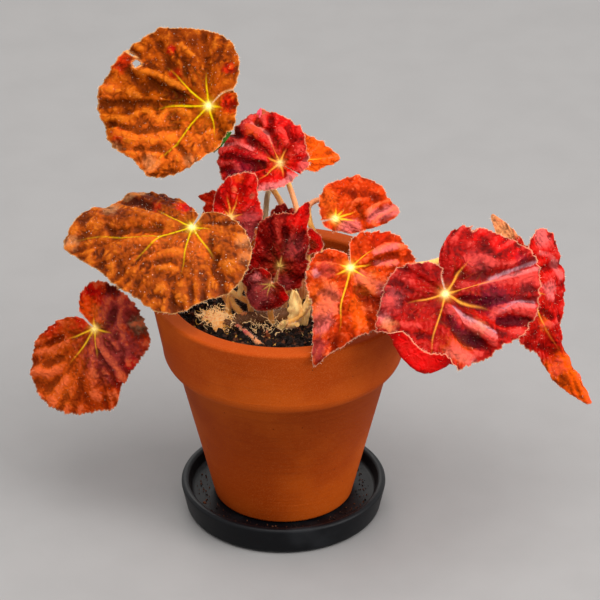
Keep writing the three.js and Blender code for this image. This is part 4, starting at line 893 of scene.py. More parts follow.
# ---- materials ----
class Finish(Graph):
    """A material with its Principled shader, and the short ways to feed it."""

    def __init__(self, name):
        self.material = bpy.data.materials.new(name)
        self.material.use_nodes = True
        super().__init__(self.material.node_tree)
        self.shader = self.tree.nodes["Principled BSDF"]
        self.output = self.tree.nodes["Material Output"]
        self.place = self.add("ShaderNodeTexCoord").outputs["Object"]

    def attribute(self, name):
        return self.add("ShaderNodeAttribute", attribute_name=name).outputs["Fac"]

    def noise(self, size, detail, stretch=None):
        """A cloudy value with waves of a size, drawn out where a stretch is less than 1."""
        place = self.place
        if stretch:
            place = self.out("ShaderNodeMapping", {"Vector": place, "Scale": stretch})
        return self.out("ShaderNodeTexNoise", {"Vector": place, "Scale": 1 / size, "Detail": detail})

    def cells(self, size, feature="F1", place=None):
        """A value that falls off in cells of a size."""
        return self.out("ShaderNodeTexVoronoi", {"Vector": place or self.place, "Scale": 1 / size},
                        feature=feature)

    def bent_place(self, size, far):
        """Object coordinates that stray by up to so far, in waves of a size."""
        waves = self.add("ShaderNodeTexNoise", {"Vector": self.place, "Scale": 1 / size, "Detail": 2.0})
        stray = self.scaled(self.about_zero(waves.outputs["Color"]), 2 * far)
        return self.out("ShaderNodeVectorMath", {0: self.place, 1: stray}, operation="ADD")

    def stain(self, skin, value, low, high, power, stain):
        """A skin under a second colour, which sets in as a value goes from low to high."""
        return self.mix(self.times(self.ramp(value, low, high), power), skin, stain)

    def relief(self, height, distance, strength, under=None):
        """Bump by a height, on top of the bump that is given as under."""
        inputs = {"Height": height, "Distance": distance, "Strength": strength}
        if under:
            inputs["Normal"] = under
        return self.out("ShaderNodeBump", inputs)

    def set(self, **inputs):
        """The material, with these inputs of its shader set."""
        for key, value in inputs.items():
            self.feed(self.shader.inputs[key.replace("_", " ")], value)
        return self.material


def leaf_finish(leaf):
    """Puckered leaf tissue: painted shade in the hollows, painted highlights on the crests, a painted glow at
    the star and veins, and a pale hairy rim.
    """
    paints = getattr(bpy.context.scene, f"begonia_{leaf['family']}")
    paint = {part: tuple(getattr(paints, part)) for part in LEAF_COLOUR_NAMES}
    f = Finish("leaf_" + leaf["name"])
    mottle = f.noise(8 * MM, 4)
    fine = f.noise(1.1 * MM, 4)
    tint = f.add("ShaderNodeAttribute", attribute_name="tint").outputs
    body = f.scaled(paint["body"], f.ramp(mottle, 0.3, 0.7, 0.8, 1.15))
    body = f.mix(tint["Alpha"], body, tint["Color"])
    # painted shade for the hollows and painted highlight for the crests
    painted_shade = f.mix(f.ramp(tint["Alpha"], 0, 1, 0.5, 0.15), f.scaled(body, 0.4), paint["hollow"])
    painted_light = f.mix(0.6, body, paint["crest"])

    # the modelled rise, with fine grain and painted shade in the creases on it, picks between the painted
    # shade, the body and the painted highlight
    cells = f.cells(leaf["puff"][0] * 0.62 * MM, "DISTANCE_TO_EDGE", f.bent_place(7 * MM, 4 * MM))
    puckers = f.ramp(cells, 0, 0.34)
    # painted shade in the fine creases between puckers, with a little painted highlight on their middles
    painted_crease_shade = f.ramp(f.noise(9 * MM, 1), 0.4, 0.65, 0.05 * leaf["crease"], 0.32 * leaf["crease"])
    rise = f.math("ADD", f.attribute("rise"), f.times(f.math("SUBTRACT", fine, 0.5), 0.55))
    rise = f.math("ADD", rise, f.times(f.math("SUBTRACT", puckers, 0.75), painted_crease_shade))
    skin = f.mix(f.ramp(rise, -0.1, 0.6), painted_shade, body)
    skin = f.mix(f.ramp(rise, 0.5, 1.05), skin, painted_light)
    below = f.mix(f.ramp(mottle, 0.35, 0.75), paint["under"], paint["body"])
    skin = f.mix(f.attribute("under"), skin, below)
    skin = f.mix(f.attribute("vein"), skin, paint["vein"])
    skin = f.mix(f.attribute("rim"), skin, paint["rim"])
    # painted glints: pale dots where the glands' hairs would catch the light
    painted_glints = f.times(f.ramp(f.cells(1.7 * MM), 0.2, 0.1), f.ramp(f.noise(3.5 * MM, 2), 0.52, 0.62))
    skin = f.mix(f.times(painted_glints, f.attribute("sparkle")), skin, (1.0, 0.86, 0.7))
    # painted glow: the star is painted pale, and an emission of the vein colour glows at the star and faintly
    # along the veins
    skin = f.mix(f.attribute("star"), skin, paint["star"])
    painted_glow = f.math("ADD", f.times(f.attribute("star"), 0.45), f.times(f.attribute("vein"), 0.05))
    bump = f.relief(fine, 0.3 * MM, 0.8, f.relief(puckers, 0.5 * MM, 0.8))
    f.set(Base_Color=skin, Roughness=f.ramp(fine, 0.3, 0.7, 0.38, 0.58), Normal=bump,
          Specular_IOR_Level=leaf["gloss"], Emission_Color=(*paint["vein"], 1), Emission_Strength=painted_glow)
    through = f.out("ShaderNodeBsdfTranslucent", {"Color": skin, "Normal": bump})
    both = f.out("ShaderNodeMixShader", {0: 0.3, 1: f.shader.outputs[0], 2: through})
    f.feed(f.output.inputs["Surface"], both)
    return f.material


def hair_finish(colours):
    """Pale hairs, a little darker in places."""
    f = Finish("hair")
    tone = f.mix(f.noise(4 * MM, 1), colours.hair, [c * 0.75 for c in colours.hair])
    return f.set(Base_Color=tone, Roughness=0.4, Specular_IOR_Level=0.4)


def stalk_finish(name, main, other):
    """Skin of stalks and rhizome: patches of two colours, with long fine streaks."""
    f = Finish(name)
    streaks = f.noise(1.4 * MM, 3, (1, 1, 0.16))
    skin = f.mix(f.ramp(f.noise(14 * MM, 2), 0.42, 0.66), main, other)
    skin = f.stain(skin, streaks, 0.5, 0.8, 0.35, linear("#8a4a20"))
    skin = f.stain(skin, f.noise(0.8 * MM, 2), 0.6, 0.75, 0.5, linear("#e8a468"))
    return f.set(Base_Color=skin, Roughness=0.55, Specular_IOR_Level=0.35,
                 Normal=f.relief(streaks, 0.4 * MM, 0.6))


def husk_finish(name, paint, painted_shine=0.08):
    """Thin dry tissue with long veins, darker in patches, with a painted glow of its own colour."""
    f = Finish(name)
    veins = f.noise(0.9 * MM, 2, (1, 1, 0.2))
    brown = [c * share for c, share in zip(paint, (0.7, 0.4, 0.3))]
    skin = f.stain(paint, veins, 0.5, 0.8, 0.6, [c * 0.4 for c in paint])
    skin = f.stain(skin, f.noise(4 * MM, 2), 0.5, 0.7, 0.5, brown)
    return f.set(Base_Color=skin, Roughness=0.6, Specular_IOR_Level=0.12,
                 Normal=f.relief(veins, 0.3 * MM, 0.5), Emission_Color=(*paint, 1), Emission_Strength=painted_shine)


def clay_finish(colours):
    """Fired clay: fine sand, throwing lines, a dry film and a few dark pits."""
    f = Finish("fired_clay")
    sand = f.noise(0.5 * MM, 3)
    lines = f.noise(1.6 * MM, 2, (0.05, 0.05, 1))
    skin = f.mix(f.ramp(f.noise(45 * MM, 4), 0.42, 0.68), colours.clay, colours.clay_bloom)
    skin = f.stain(skin, sand, 0.45, 0.75, 0.25, linear("#d07a40"))
    skin = f.stain(skin, lines, 0.5, 0.8, 0.18, linear("#7c2c08"))
    pits = f.times(f.ramp(f.cells(3.4 * MM), 0.11, 0.07), f.ramp(f.noise(9 * MM, 2), 0.55, 0.66))
    skin = f.mix(f.times(pits, 0.75), skin, linear("#3a1408"))
    bump = f.relief(lines, 0.25 * MM, 0.5, f.relief(sand, 0.12 * MM, 0.5))
    bump = f.relief(f.math("SUBTRACT", 1.0, pits), 0.3 * MM, 0.6, bump)
    return f.set(Base_Color=skin, Roughness=f.ramp(sand, 0.3, 0.7, 0.6, 0.8), Specular_IOR_Level=0.06,
                 Normal=bump)


def glaze_finish(colours):
    """Matte charcoal stoneware with a soft sheen and a little dust."""
    f = Finish("charcoal_glaze")
    dust = f.noise(18 * MM, 4)
    skin = f.stain(colours.glaze, dust, 0.5, 0.75, 0.1, linear("#4a4c50"))
    return f.set(Base_Color=skin, Roughness=f.ramp(dust, 0.3, 0.7, 0.4, 0.5), Specular_IOR_Level=0.16,
                 Normal=f.relief(f.noise(0.6 * MM, 3), 0.06 * MM, 0.5))


def mix_finish(name, dark, light, share):
    """Crumbs of the potting mix: each stretch dark or light by chance, with a rough face."""
    f = Finish(name)
    grain = f.noise(0.5 * MM, 3)
    skin = f.mix(f.ramp(f.noise(3.5 * MM, 2), share - 0.06, share + 0.06), dark, light)
    skin = f.stain(skin, grain, 0.5, 0.8, 0.3, [min(c * 2.2, 1) for c in light])
    return f.set(Base_Color=skin, Roughness=0.85, Specular_IOR_Level=0.25,
                 Normal=f.relief(grain, 0.3 * MM, 0.8))


# ---- leaf blades ----
def blade_axes(leaf):
    """The blade's star, face normal, midrib direction and side direction."""
    normal = unit(leaf["normal"])
    along = np.asarray(leaf["tip"], float)
    along = unit(along - normal * (along @ normal))
    return np.asarray(leaf["star"], float), normal, along, np.cross(normal, along)


def lobe_walls(leaf):
    """Angles of the main veins, with the far sides of the two outer lobes."""
    veins = leaf["veins"]
    return [veins[0] - OUTER_LOBE, *veins, veins[-1] + OUTER_LOBE]


def lobe_phase(leaf, angle):
    """How far each angle is on the way from the main vein before it to the next, from 0 to 1."""
    walls = np.array(lobe_walls(leaf), float)
    i = np.clip(np.searchsorted(walls, angle, side="left") - 1, 0, len(walls) - 2)
    return np.clip((angle - walls[i]) / (walls[i + 1] - walls[i]), 0, 1)


def greatest_reach(leaf):
    """How far the blade runs from its star, at the most."""
    return max(row[1] for row in leaf["outline"])


def rolled(leaf, angle, share, reach, lift):
    """Distance out and height off the plane, with a stretch of the margin rolled over."""
    out, up = reach * share, lift * share ** 2
    curl = leaf["curl"]
    if not curl:
        return out, up
    start, bend = curl["start"], curl["bend"]
    near = np.clip(1 - ((angle - curl["centre"]) / curl["half"]) ** 2, 0, 1)
    whole = np.radians(curl["turn"]) * near ** 2 * (3 - 2 * near)
    safe = np.maximum(whole, 1e-3)
    slope = np.arctan2(2 * lift * start, reach)
    strip = (1 - start) * np.hypot(reach, 2 * lift * start)
    s = (share - start) / (1 - start)
    swung = safe * np.clip(s / bend, 0, 1)
    radius = strip * bend / safe
    straight = strip * np.maximum(s - bend, 0)
    run = radius * np.sin(swung) + straight * np.cos(swung)
    over = radius * (1 - np.cos(swung)) + straight * np.sin(swung)
    curled = (share > start) & (whole > 1e-3)
    return (np.where(curled, reach * start + run * np.cos(slope) - over * np.sin(slope), out),
            np.where(curled, lift * start ** 2 + run * np.sin(slope) + over * np.cos(slope), up))


def blade_surface(leaf, angle, share, reach, lift):
    """Points of the blade's face before its finer relief, in millimetres."""
    star, normal, along, side = blade_axes(leaf)
    first, last = leaf["outline"][0][0], leaf["outline"][-1][0]
    near_cut = np.exp(-((angle - first) / CUT_SPREAD) ** 2) + np.exp(-((angle - last) / CUT_SPREAD) ** 2)
    bent = np.radians(angle + leaf["slit"] * near_cut * np.sin(np.pi * share))
    out, up = rolled(leaf, angle, share, reach, lift)
    height = leaf["pleat"] * np.minimum(1, reach / (FULL_PLEAT_REACH * greatest_reach(leaf)))
    grown = np.minimum(1, share / FULL_PLEAT_SHARE) * np.sin(np.pi * PLEAT_FALL * share)
    up = up + height * np.sin(np.pi * lobe_phase(leaf, angle)) ** 2 * grown
    return (star + along * (np.cos(bent) * out)[..., None] + side * (np.sin(bent) * out)[..., None]
            + normal * up[..., None])


def flat_points(angle, distance):
    """Places on the blade spread out flat, from the angle about the star and the distance from it."""
    return np.stack([distance * np.cos(np.radians(angle)), distance * np.sin(np.radians(angle))], -1)


def leaf_spot(leaf, angle, share):
    """Places on the flat blade, from the angle and the share of the reach, in millimetres."""
    angle = np.atleast_1d(np.asarray(angle, float))
    return flat_points(angle, smooth_value(leaf["outline"], 1, angle) * share)


def line_spots(leaf, line):
    """Points of a line on the flat blade, from its angles and percentages of the reach."""
    angle, percent = np.asarray(line, float).T
    return leaf_spot(leaf, angle, percent / 100)


def side_veins(leaf):
    """Straight stretches of the side veins on the flat blade, which leave a main vein by turns."""
    walls = lobe_walls(leaf)
    t = np.linspace(0, 1, 6)
    starts, ends = [], []
    for number, vein in enumerate(leaf["veins"]):
        for side in (-1, 1):
            middle = (vein + walls[number + 1 + side]) / 2
            for begin in SIDE_VEIN_STARTS:
                begin += 0.05 * side
                share = np.minimum(begin + SIDE_VEIN_RUN * t ** 1.2, 1)
                line = leaf_spot(leaf, vein + (middle - vein) * t ** 0.8, share)
                starts.append(line[:-1])
                ends.append(line[1:])
    return np.vstack(starts), np.vstack(ends)


def puckers(leaf, angle, distance, seed):
    """Height of the rounded puckers, from 0 in the creases between them to 1 on their tops."""
    size, stretch, _ = leaf["puff"]
    rng = np.random.default_rng(seed)
    tries_angle = rng.uniform(leaf["outline"][0][0], leaf["outline"][-1][0], PUCKER_TRIES)
    tries_share = rng.uniform(0.02, 1, PUCKER_TRIES) ** 0.5
    kept = np.empty((0, 2))
    for spot in leaf_spot(leaf, tries_angle, tries_share):
        gap = spot - kept
        ray = unit(spot)
        away = (gap @ ray / stretch) ** 2 + (gap @ quarter_turn(ray)) ** 2
        if not len(kept) or away.min() >= (0.8 * size) ** 2:
            kept = np.vstack([kept, spot])
    rays = unit(kept)
    turned_rays = quarter_turn(rays)

    def measure(part):
        gap = part - kept
        away = ((gap * rays).sum(-1) / stretch) ** 2 + (gap * turned_rays).sum(-1) ** 2
        nearest = np.sqrt(np.partition(away, 1, axis=1)[:, :2])
        return (nearest[:, 1] - nearest[:, 0]) / size

    points = flat_points(angle, distance).reshape(-1, 2)
    points = points + 0.16 * size * np.stack([ripple(points, 1.6 * size, seed + k) for k in (1, 2)], -1)
    return smooth_step(0, 0.75, in_chunks(measure, points).reshape(angle.shape)) ** 0.8


def margin_teeth(leaf, run, seed):
    """How far each margin point goes out or in, in saw teeth of uneven depth."""
    rng = np.random.default_rng(seed)
    run = run + 0.25 * ripple(run[:, None], 9.0, seed)
    number = np.floor(run).astype(int) - math.floor(run.min())
    depth = rng.uniform(0.45, 1.25, number.max() + 1)[number]
    return 1.5 * leaf["tooth"] * depth * (0.5 - (run - np.floor(run)) ** 1.6)


def line_distance(leaf, flat, line):
    """Distance from the flat points to a smooth line, or to its only point."""
    spots = line_spots(leaf, line)
    if len(spots) == 1:
        return np.linalg.norm(flat - spots[0], axis=1)
    spots = smooth_route(spots, 5)
    return nearest_line(flat, spots[:-1], spots[1:])


def folds_height(leaf, flat):
    """Height of the leaf's own ridges and hollows at the flat points."""
    height = np.zeros(len(flat))
    for line, width, rise in leaf["folds"]:
        height += rise * np.exp(-(line_distance(leaf, flat, line) / width) ** 2)
    return height


def tints(leaf, flat, seed):
    """Colour and strength of the leaf's washes at the flat points, with broken edges."""
    paints = bpy.context.scene.begonia_washes
    tint = np.zeros((len(flat), 4))
    rough = sum(high * ripple(flat, size, seed + k) for k, (size, high) in enumerate(WASH_EDGE))
    for kind, line, radius, power in leaf["washes"]:
        away = line_distance(leaf, flat, line) / radius
        strength = power * smooth_step(1.4, 0.5, away + rough)
        total = strength + tint[:, 3] * (1 - strength)
        over = (strength / np.maximum(total, 1e-6))[:, None]
        tint[:, :3] += over * (np.array(getattr(paints, kind)) - tint[:, :3])
        tint[:, 3] = total
    return tint


def softened(field, cells):
    """A field with its details smaller than so many cells smoothed away."""
    for axis in (0, 1):
        for _ in range(2):
            wide = [(0, 0), (0, 0)]
            wide[axis] = (cells + 1, cells)
            total = np.cumsum(np.pad(field, wide, mode="edge"), axis=axis)
            field = (np.take(total, range(2 * cells + 1, total.shape[axis]), axis)
                     - np.take(total, range(total.shape[axis] - 2 * cells - 1), axis)) / (2 * cells + 1)
    return field


def vein_distance(leaf, flat):
    """Distance from each flat point to each main vein, which run in a slight bow or along their fork."""
    gaps = []
    t = np.linspace(0, 1, 14)
    for number, vein in enumerate(leaf["veins"]):
        if number in leaf["forks"]:
            line = smooth_route(line_spots(leaf, leaf["forks"][number]), 6)
        else:
            bow = 3 * np.sin(2.4 * np.pi * t + number) * np.sin(np.pi * t)
            line = leaf_spot(leaf, vein + bow, t)
        gaps.append(nearest_line(flat, line[:-1], line[1:]))
    return np.stack(gaps, -1)


def blade_grid(leaf, spacing):
    """Angle and share of the reach of the blade's points, in columns spread evenly along the margin."""
    outline = leaf["outline"]
    coarse = np.linspace(outline[0][0], outline[-1][0], MARGIN_POINTS)
    run = run_along(leaf_spot(leaf, coarse, 1))
    blend = 0.75 * run / run[-1] + 0.25 * np.linspace(0, 1, MARGIN_POINTS)
    angles = np.interp(np.linspace(0, 1, int(run[-1] / spacing)), blend, coarse)
    rows = int(greatest_reach(leaf) / spacing * 0.9)
    return np.meshgrid(angles, np.linspace(0, 1, rows + 1)[1:])


def cut_holes(leaf, angle, share, margin):
    """Which points lie in a hole, and the distance to the nearest edge with the holes' edges counted."""
    hole = np.zeros(angle.shape, bool)
    distance = smooth_value(leaf["outline"], 1, angle) * share
    for *place, long, wide in leaf["holes"]:
        centre = line_spots(leaf, [place])[0]
        ray = unit(centre)
        gap = flat_points(angle, distance) - centre
        away = np.hypot(gap @ ray / long, gap @ quarter_turn(ray) / wide) * 2
        hole |= away < 1
        margin = np.minimum(margin, np.abs(away - 1) * min(long, wide) * 0.5)
    return hole, margin


def closed_shell(star, below, top, bottom, hole):
    """Points and faces of a closed shell over two grids, and how many of the last faces are its walls."""
    under = hole.size + 1
    vertices = np.vstack([star, top.reshape(-1, 3), below, bottom.reshape(-1, 3)])
    at = np.arange(1, under).reshape(hole.shape)
    quads = grid_quads(at)[~(hole[:-1, :-1] & hole[1:, 1:]).reshape(-1)]
    fan = np.stack([np.zeros(at.shape[1] - 1, int), at[0, :-1], at[0, 1:]], -1)
    sides = np.vstack([face[:, [k, (k + 1) % face.shape[1]]]
                       for face in (quads, fan) for k in range(face.shape[1])])
    there = {tuple(pair) for pair in sides.tolist()}
    walls = sorted((b, a, a + under, b + under) for a, b in there if (b, a) not in there)
    faces = [*quads.tolist(), *fan.tolist(), *(quads[:, ::-1] + under).tolist(),
             *(fan[:, ::-1] + under).tolist(), *walls]
    return vertices, faces, len(walls)


def build_blade(leaf, sizes, seed):
    """The blade's mesh: a closed thin shell with relief on both faces and attributes for its finish."""
    greatest = greatest_reach(leaf)
    small = min(1, greatest / LARGE_LEAF)
    fineness = 1 if greatest >= LARGE_LEAF else 0.8 if greatest > SMALL_LEAF else 0.6
    angle, share = blade_grid(leaf, sizes.mesh_spacing / MM * fineness)
    angles = angle[0]
    reach = smooth_value(leaf["outline"], 1, angle)
    lift = smooth_value(leaf["outline"], 2, angle)
    wave = run_along(leaf_spot(leaf, angles, 1))
    teeth = margin_teeth(leaf, wave / (sizes.tooth_spacing / MM), seed)
    bays = leaf["ragged"] * ripple(wave[:, None], 6.0, seed + 9)
    toothed = reach + teeth[None] * share ** 12 + bays[None] * share ** 6
    points = blade_surface(leaf, angle, share, toothed, lift)
    normals = grid_normals(points)
    star, normal, _, _ = blade_axes(leaf)
    if (normals[share < 0.6] @ normal).mean() < 0:
        normals = -normals

    # distances on the flat blade
    distance = reach * share
    flat = flat_points(angle, distance).reshape(-1, 2)
    mains = vein_distance(leaf, flat).reshape(*angle.shape, -1)
    main = mains.min(-1)
    side = nearest_line(flat, *side_veins(leaf)).reshape(angle.shape)
    margin = (1 - share) * reach
    if not leaf["shut"]:
        from_cut = np.clip(np.minimum(angle - angles[0], angles[-1] - angle), 0, 90)
        margin = np.minimum(margin, distance * np.sin(np.radians(from_cut)))

    # relief: puckers, folds, valleys along the veins, swells, and waves along the margin
    tissue = smooth_step(0.06, 0.32, share) * (0.45 + 0.55 * smooth_step(0, 3, margin))
    dome = puckers(leaf, angle, distance, seed)
    relief = leaf["puff"][2] * tissue * (0.42 * dome + 0.3 * smooth_step(0, 2.6, side) - 0.25)
    relief += folds_height(leaf, flat).reshape(angle.shape) * smooth_step(0, 0.15, share)
    relief -= 0.6 * small * np.exp(-(main / 1.4) ** 2) * smooth_step(0, 0.1, share) * (1 - 0.7 * share)
    relief += 0.35 * small * np.exp(-(main / 0.45) ** 2) * (1 - share)
    relief += 0.45 * small * ripple(flat, 12.0, seed + 5).reshape(angle.shape) * share ** 2
    relief += 0.12 * small * ripple(flat, 2.6, seed + 6).reshape(angle.shape) * smooth_step(0.05, 0.3, share)
    relief += leaf["frill"] * ripple(wave[None, :, None], 8.0, seed + 7) * share ** 4
    if leaf["curl"]:
        turned_over = np.exp(-((angle - leaf["curl"]["centre"]) / (0.8 * leaf["curl"]["half"])) ** 2)
        relief *= 1 - 0.85 * turned_over * smooth_step(0.68, 0.82, share)
    top = points + normals * relief[..., None]
    thickness = sizes.blade_thickness / MM * (1 - 0.45 * share)
    ridge = 0.55 * small * np.exp(-(main / 0.7) ** 2) * (1 - 0.8 * share)
    ridge += 0.2 * small * np.exp(-(side / 0.5) ** 2) * smooth_step(0.05, 0.2, share)
    bottom = top - normals * (thickness + ridge)[..., None]

    # the finish's attributes: "rise" carries painted shade in the hollows and painted highlight on the crests
    halo = np.exp(-(distance / STAR_HALO) ** 2)
    lit = np.asarray(leaf["lit"])
    fade = smooth_step(1.15, 0.4, share[..., None] / np.maximum(lit, 1e-3))
    thin = (0.5 + 0.5 * small) * (sizes.vein_width / MM * 0.5)
    thin = thin * (0.9 - 0.5 * share + 1.3 * leaf["painted_glow"] * halo)[..., None]
    vein = (np.exp(-(mains / thin) ** 2) * fade * (lit > 0)).max(-1)
    vein = np.maximum(vein, 0.05 * np.exp(-(side / 0.35) ** 2) * smooth_step(0.7, 0.2, share))
    vein = np.maximum(vein, 0.7 * leaf["painted_glow"] * halo)
    # the painted glow of the star's core
    painted_glow = leaf["painted_glow"] * 1.2 * np.exp(-(distance / STAR_CORE) ** 2)
    # painted shade and highlight: the relief's hollows darken the colour and its crests lighten it
    hidden = softened(relief, 2)
    cavity = 0.3 * (relief - hidden) / 0.15 + 0.9 * (hidden - softened(relief, 7)) / 0.7
    shade = np.tanh(cavity * leaf["depth"]) * smooth_step(0.0, 0.2, share)
    hole, margin = cut_holes(leaf, angle, share, margin)
    tint = tints(leaf, flat, seed + 20)

    below = star - normal * (thickness[0, 0] + 0.5 * small)
    vertices, faces, walls = closed_shell(star, below, top, bottom, hole)
    mesh = new_mesh("blade", vertices * MM, faces)
    painted_light = min(1, leaf["painted_glow"])
    # values on the face, then at the star, and the share of both that holds underneath
    for name, values, at_star, lower in (
        ("vein", np.clip(vein, 0, 1), painted_light, 0.35),
        ("star", np.clip(painted_glow, 0, 1), painted_light, 0.0),
        ("rise", np.clip(0.5 + 0.5 * shade, 0, 1), 0.3, 0.5),
        ("rim", 0.7 * np.exp(-(margin / 0.3) ** 2), 0.0, 1.0),
        ("sparkle", np.full(share.shape, leaf["sparkle"]), 0.0, 0.5),
    ):
        values = values.reshape(-1)
        store(mesh, name, np.concatenate([[at_star], values, [at_star * lower], values * lower]))
    none = np.zeros((1, 4))
    paint = mesh.attributes.new("tint", "FLOAT_COLOR", "POINT")
    paint.data.foreach_set("color", np.vstack([none, tint, none, tint]).reshape(-1))
    store(mesh, "under", np.repeat([0.0, 1.0], hole.size + 1))
    store(mesh, "edge", np.arange(len(faces)) >= len(faces) - walls, "BOOLEAN", "FACE")
    return mesh


# ---- pieces ----
class BegoniaOperator:
    """What the makers of pieces share: their undo step, sizes, colours and skins."""
    bl_options = {"REGISTER", "UNDO"}

    @property
    def sizes(self):
        return bpy.context.scene.begonia_sizes

    @property
    def colours(self):
        return bpy.context.scene.begonia_colours

    def hairs(self):
        """What every tree with hairs is told: their length, their width and their shared material."""
        hair = bpy.data.materials.get("hair") or hair_finish(self.colours)
        return dict(hair_length=self.sizes.hair_length, hair_width=self.sizes.hair_width, hair=hair)

    def stalk_skin(self, kind):
        """The skin of one kind of stalk, which its stalks share."""
        c = self.colours
        main, other = {
            "tan": (c.stalk, c.stalk_rose), "green": (c.stalk_green, c.stalk_green),
            "pale": (c.stalk, c.husk), "rosy": (c.stalk_rose, c.rose), "bark": (c.rhizome, c.soil_light),
        }[kind]
        return bpy.data.materials.get("stalk_" + kind) or stalk_finish("stalk_" + kind, main, other)

    def stalks(self, name, lines, skin, **values):
        """A piece of round stalks along (points, radii) in metres."""
        tree = bpy.data.node_groups.get("Hairy stalk") or stalk_tree()
        return shaped(curve_object(name, lines), tree, name, skin=skin, **values, **self.hairs())


def arc(radius, height, across, up, start, end, steps):
    """Points of a rounded edge in a profile: an arc about a point, between two angles in degrees."""
    turn = np.radians(np.linspace(start, end, steps + 1))
    return [(radius + across * c, height + up * s) for c, s in zip(np.cos(turn), np.sin(turn))]


def turned(name, profile, segments, skin):
    """A turned piece from a profile of (radius, height) points, in metres."""
    line = bpy.data.meshes.new(name)
    line.from_pydata([(radius, 0, height) for radius, height in profile], [], [])
    piece = shaped(new_object(name, line), turned_tree(), name, segments=segments, skin=skin)
    piece.data.polygons.foreach_set("use_smooth", [True] * len(piece.data.polygons))
    return piece


class BEGONIA_OT_saucer(BegoniaOperator, Operator):
    """Turns the charcoal saucer"""
    bl_idname = "begonia.saucer"
    bl_label = "Saucer"

    def execute(self, context):
        _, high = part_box("saucer")
        edge, heel, wall = 1.8 * MM, 3.2 * MM, 4 * MM
        foot, top, lip = 49 * MM, high.x, high.z - edge
        inner = top - wall
        profile = [(0, 0), *arc(foot - heel, heel, heel, heel, -90, -12, 8)]
        profile += arc(top - edge, lip, edge, edge, 0, 90, 8)
        profile += arc(inner + edge, lip, edge, edge, 90, 180, 8)
        profile += arc(inner - 1.5 * edge, SAUCER_FLOOR + edge, edge, edge, 0, -90, 6)
        profile += [(0, SAUCER_FLOOR)]
        piece = turned("saucer_glazed", profile, self.sizes.turned_segments, glaze_finish(self.colours))
        settle(piece, "saucer", "saucer")
        return {"FINISHED"}


class BEGONIA_OT_pot(BegoniaOperator, Operator):
    """Turns the clay pot with its rim band"""
    bl_idname = "begonia.pot"
    bl_label = "Pot"

    def execute(self, context):
        low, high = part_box("pot")
        foot, top, rim = low.z, high.z, high.x
        shoulder, edge, rounding = top - 38.5 * MM, 1.8 * MM, 8.5 * MM
        body, band, base = 52.9 * MM, 59.6 * MM, 34.8 * MM
        inner_rim, inner_shoulder, inner_foot = rim - 9.4 * MM, body - 7 * MM, base - 6 * MM
        floor, drain = foot + 9 * MM, 6.5 * MM
        profile = [(drain, foot), *arc(base - edge, foot + edge, edge, edge, -90, 0, 6)]
        profile += arc(body, shoulder + rounding, band - body, rounding, -90, 0, 14)
        profile += arc(rim - edge, top - edge, edge, edge, 0, 90, 8)
        profile += arc(inner_rim + edge, top - edge, edge, edge, 90, 180, 8)
        profile += [(inner_shoulder, shoulder), (inner_foot, floor), (drain, floor), (drain, foot)]
        piece = turned("pot_clay", profile, self.sizes.turned_segments, clay_finish(self.colours))
        settle(piece, "terracotta", "pot")
        return {"FINISHED"}


def surface_copy(node, name, keep):
    """A merged copy of the part of a frame node's surface that keep(centre, normal) picks."""
    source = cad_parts[node].data
    picked = [p for p in source.polygons if keep(p.center, p.normal)]
    vertices = [tuple(source.vertices[i].co) for p in picked for i in p.vertices]
    faces, start = [], 0
    for p in picked:
        faces.append(tuple(range(start, start + len(p.vertices))))
        start += len(p.vertices)
    return new_object(name, new_mesh(name, vertices, faces, False))


class BEGONIA_OT_soil(BegoniaOperator, Operator):
    """Paints the soil and strews its crumbs"""
    bl_idname = "begonia.soil"
    bl_label = "Soil"

    def execute(self, context):
        light = self.colours.soil_light
        mix = mix_finish("potting_mix", self.colours.soil, light, 0.6)
        bits = mix_finish("brown_bits", light, self.colours.stalk, 0.56)
        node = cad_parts["soil"]
        node.data.materials.clear()
        node.data.materials.append(mix)
        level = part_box("soil")[1].z - 4 * MM
        tree = crumb_tree()
        kinds = [("soil_bark", 1.6, 4.6, mix), ("soil_bits", 0.6, 1.6, bits)]
        for number, (name, smallest, largest, skin) in enumerate(kinds):
            top = surface_copy("soil", name, lambda centre, normal: centre.z > level and normal.z > 0.4)
            piece = shaped(top, tree, name, density=PER_SQUARE_METRE["soil"], smallest=smallest * MM,
                           largest=largest * MM, flatness=0.35, sink=0.1, seed=11 + number, skin=skin)
            settle(piece, "soil")
        return {"FINISHED"}


class BEGONIA_OT_saucer_crumbs(BegoniaOperator, Operator):
    """Strews the crumbs that have fallen into the saucer"""
    bl_idname = "begonia.saucer_crumbs"
    bl_label = "Crumbs in the saucer"

    def execute(self, context):
        inner, outer, spokes = 36.5 * MM, 43.5 * MM, 48
        turns = np.radians(np.linspace(0, 360, spokes + 1))[:-1]
        ring = [(r * math.cos(a), r * math.sin(a), SAUCER_FLOOR) for r in (inner, outer) for a in turns]
        faces = [(k, spokes + k, spokes + (k + 1) % spokes, (k + 1) % spokes) for k in range(spokes)]
        base = new_object("saucer_crumbs", new_mesh("saucer_crumbs", ring, faces))
        skin = mix_finish("fallen_crumbs", self.colours.soil, self.colours.soil_light, 0.5)
        piece = shaped(base, crumb_tree(), "saucer_crumbs", density=PER_SQUARE_METRE["saucer"],
                       smallest=0.3 * MM, largest=1.1 * MM, flatness=0.4, sink=0.2, seed=5, skin=skin)
        settle(piece, "soil")
        return {"FINISHED"}


def curve_object(name, lines):
    """A curve with one spline for each (points, radii), in metres."""
    curve = bpy.data.curves.new(name, "CURVE")
    curve.dimensions = "3D"
    for points, radii in lines:
        spline = curve.splines.new("POLY")
        spline.points.add(len(points) - 1)
        spline.points.foreach_set("co", np.column_stack([points, np.ones(len(points))]).reshape(-1))
        spline.points.foreach_set("radius", radii)
    return new_object(name, curve)


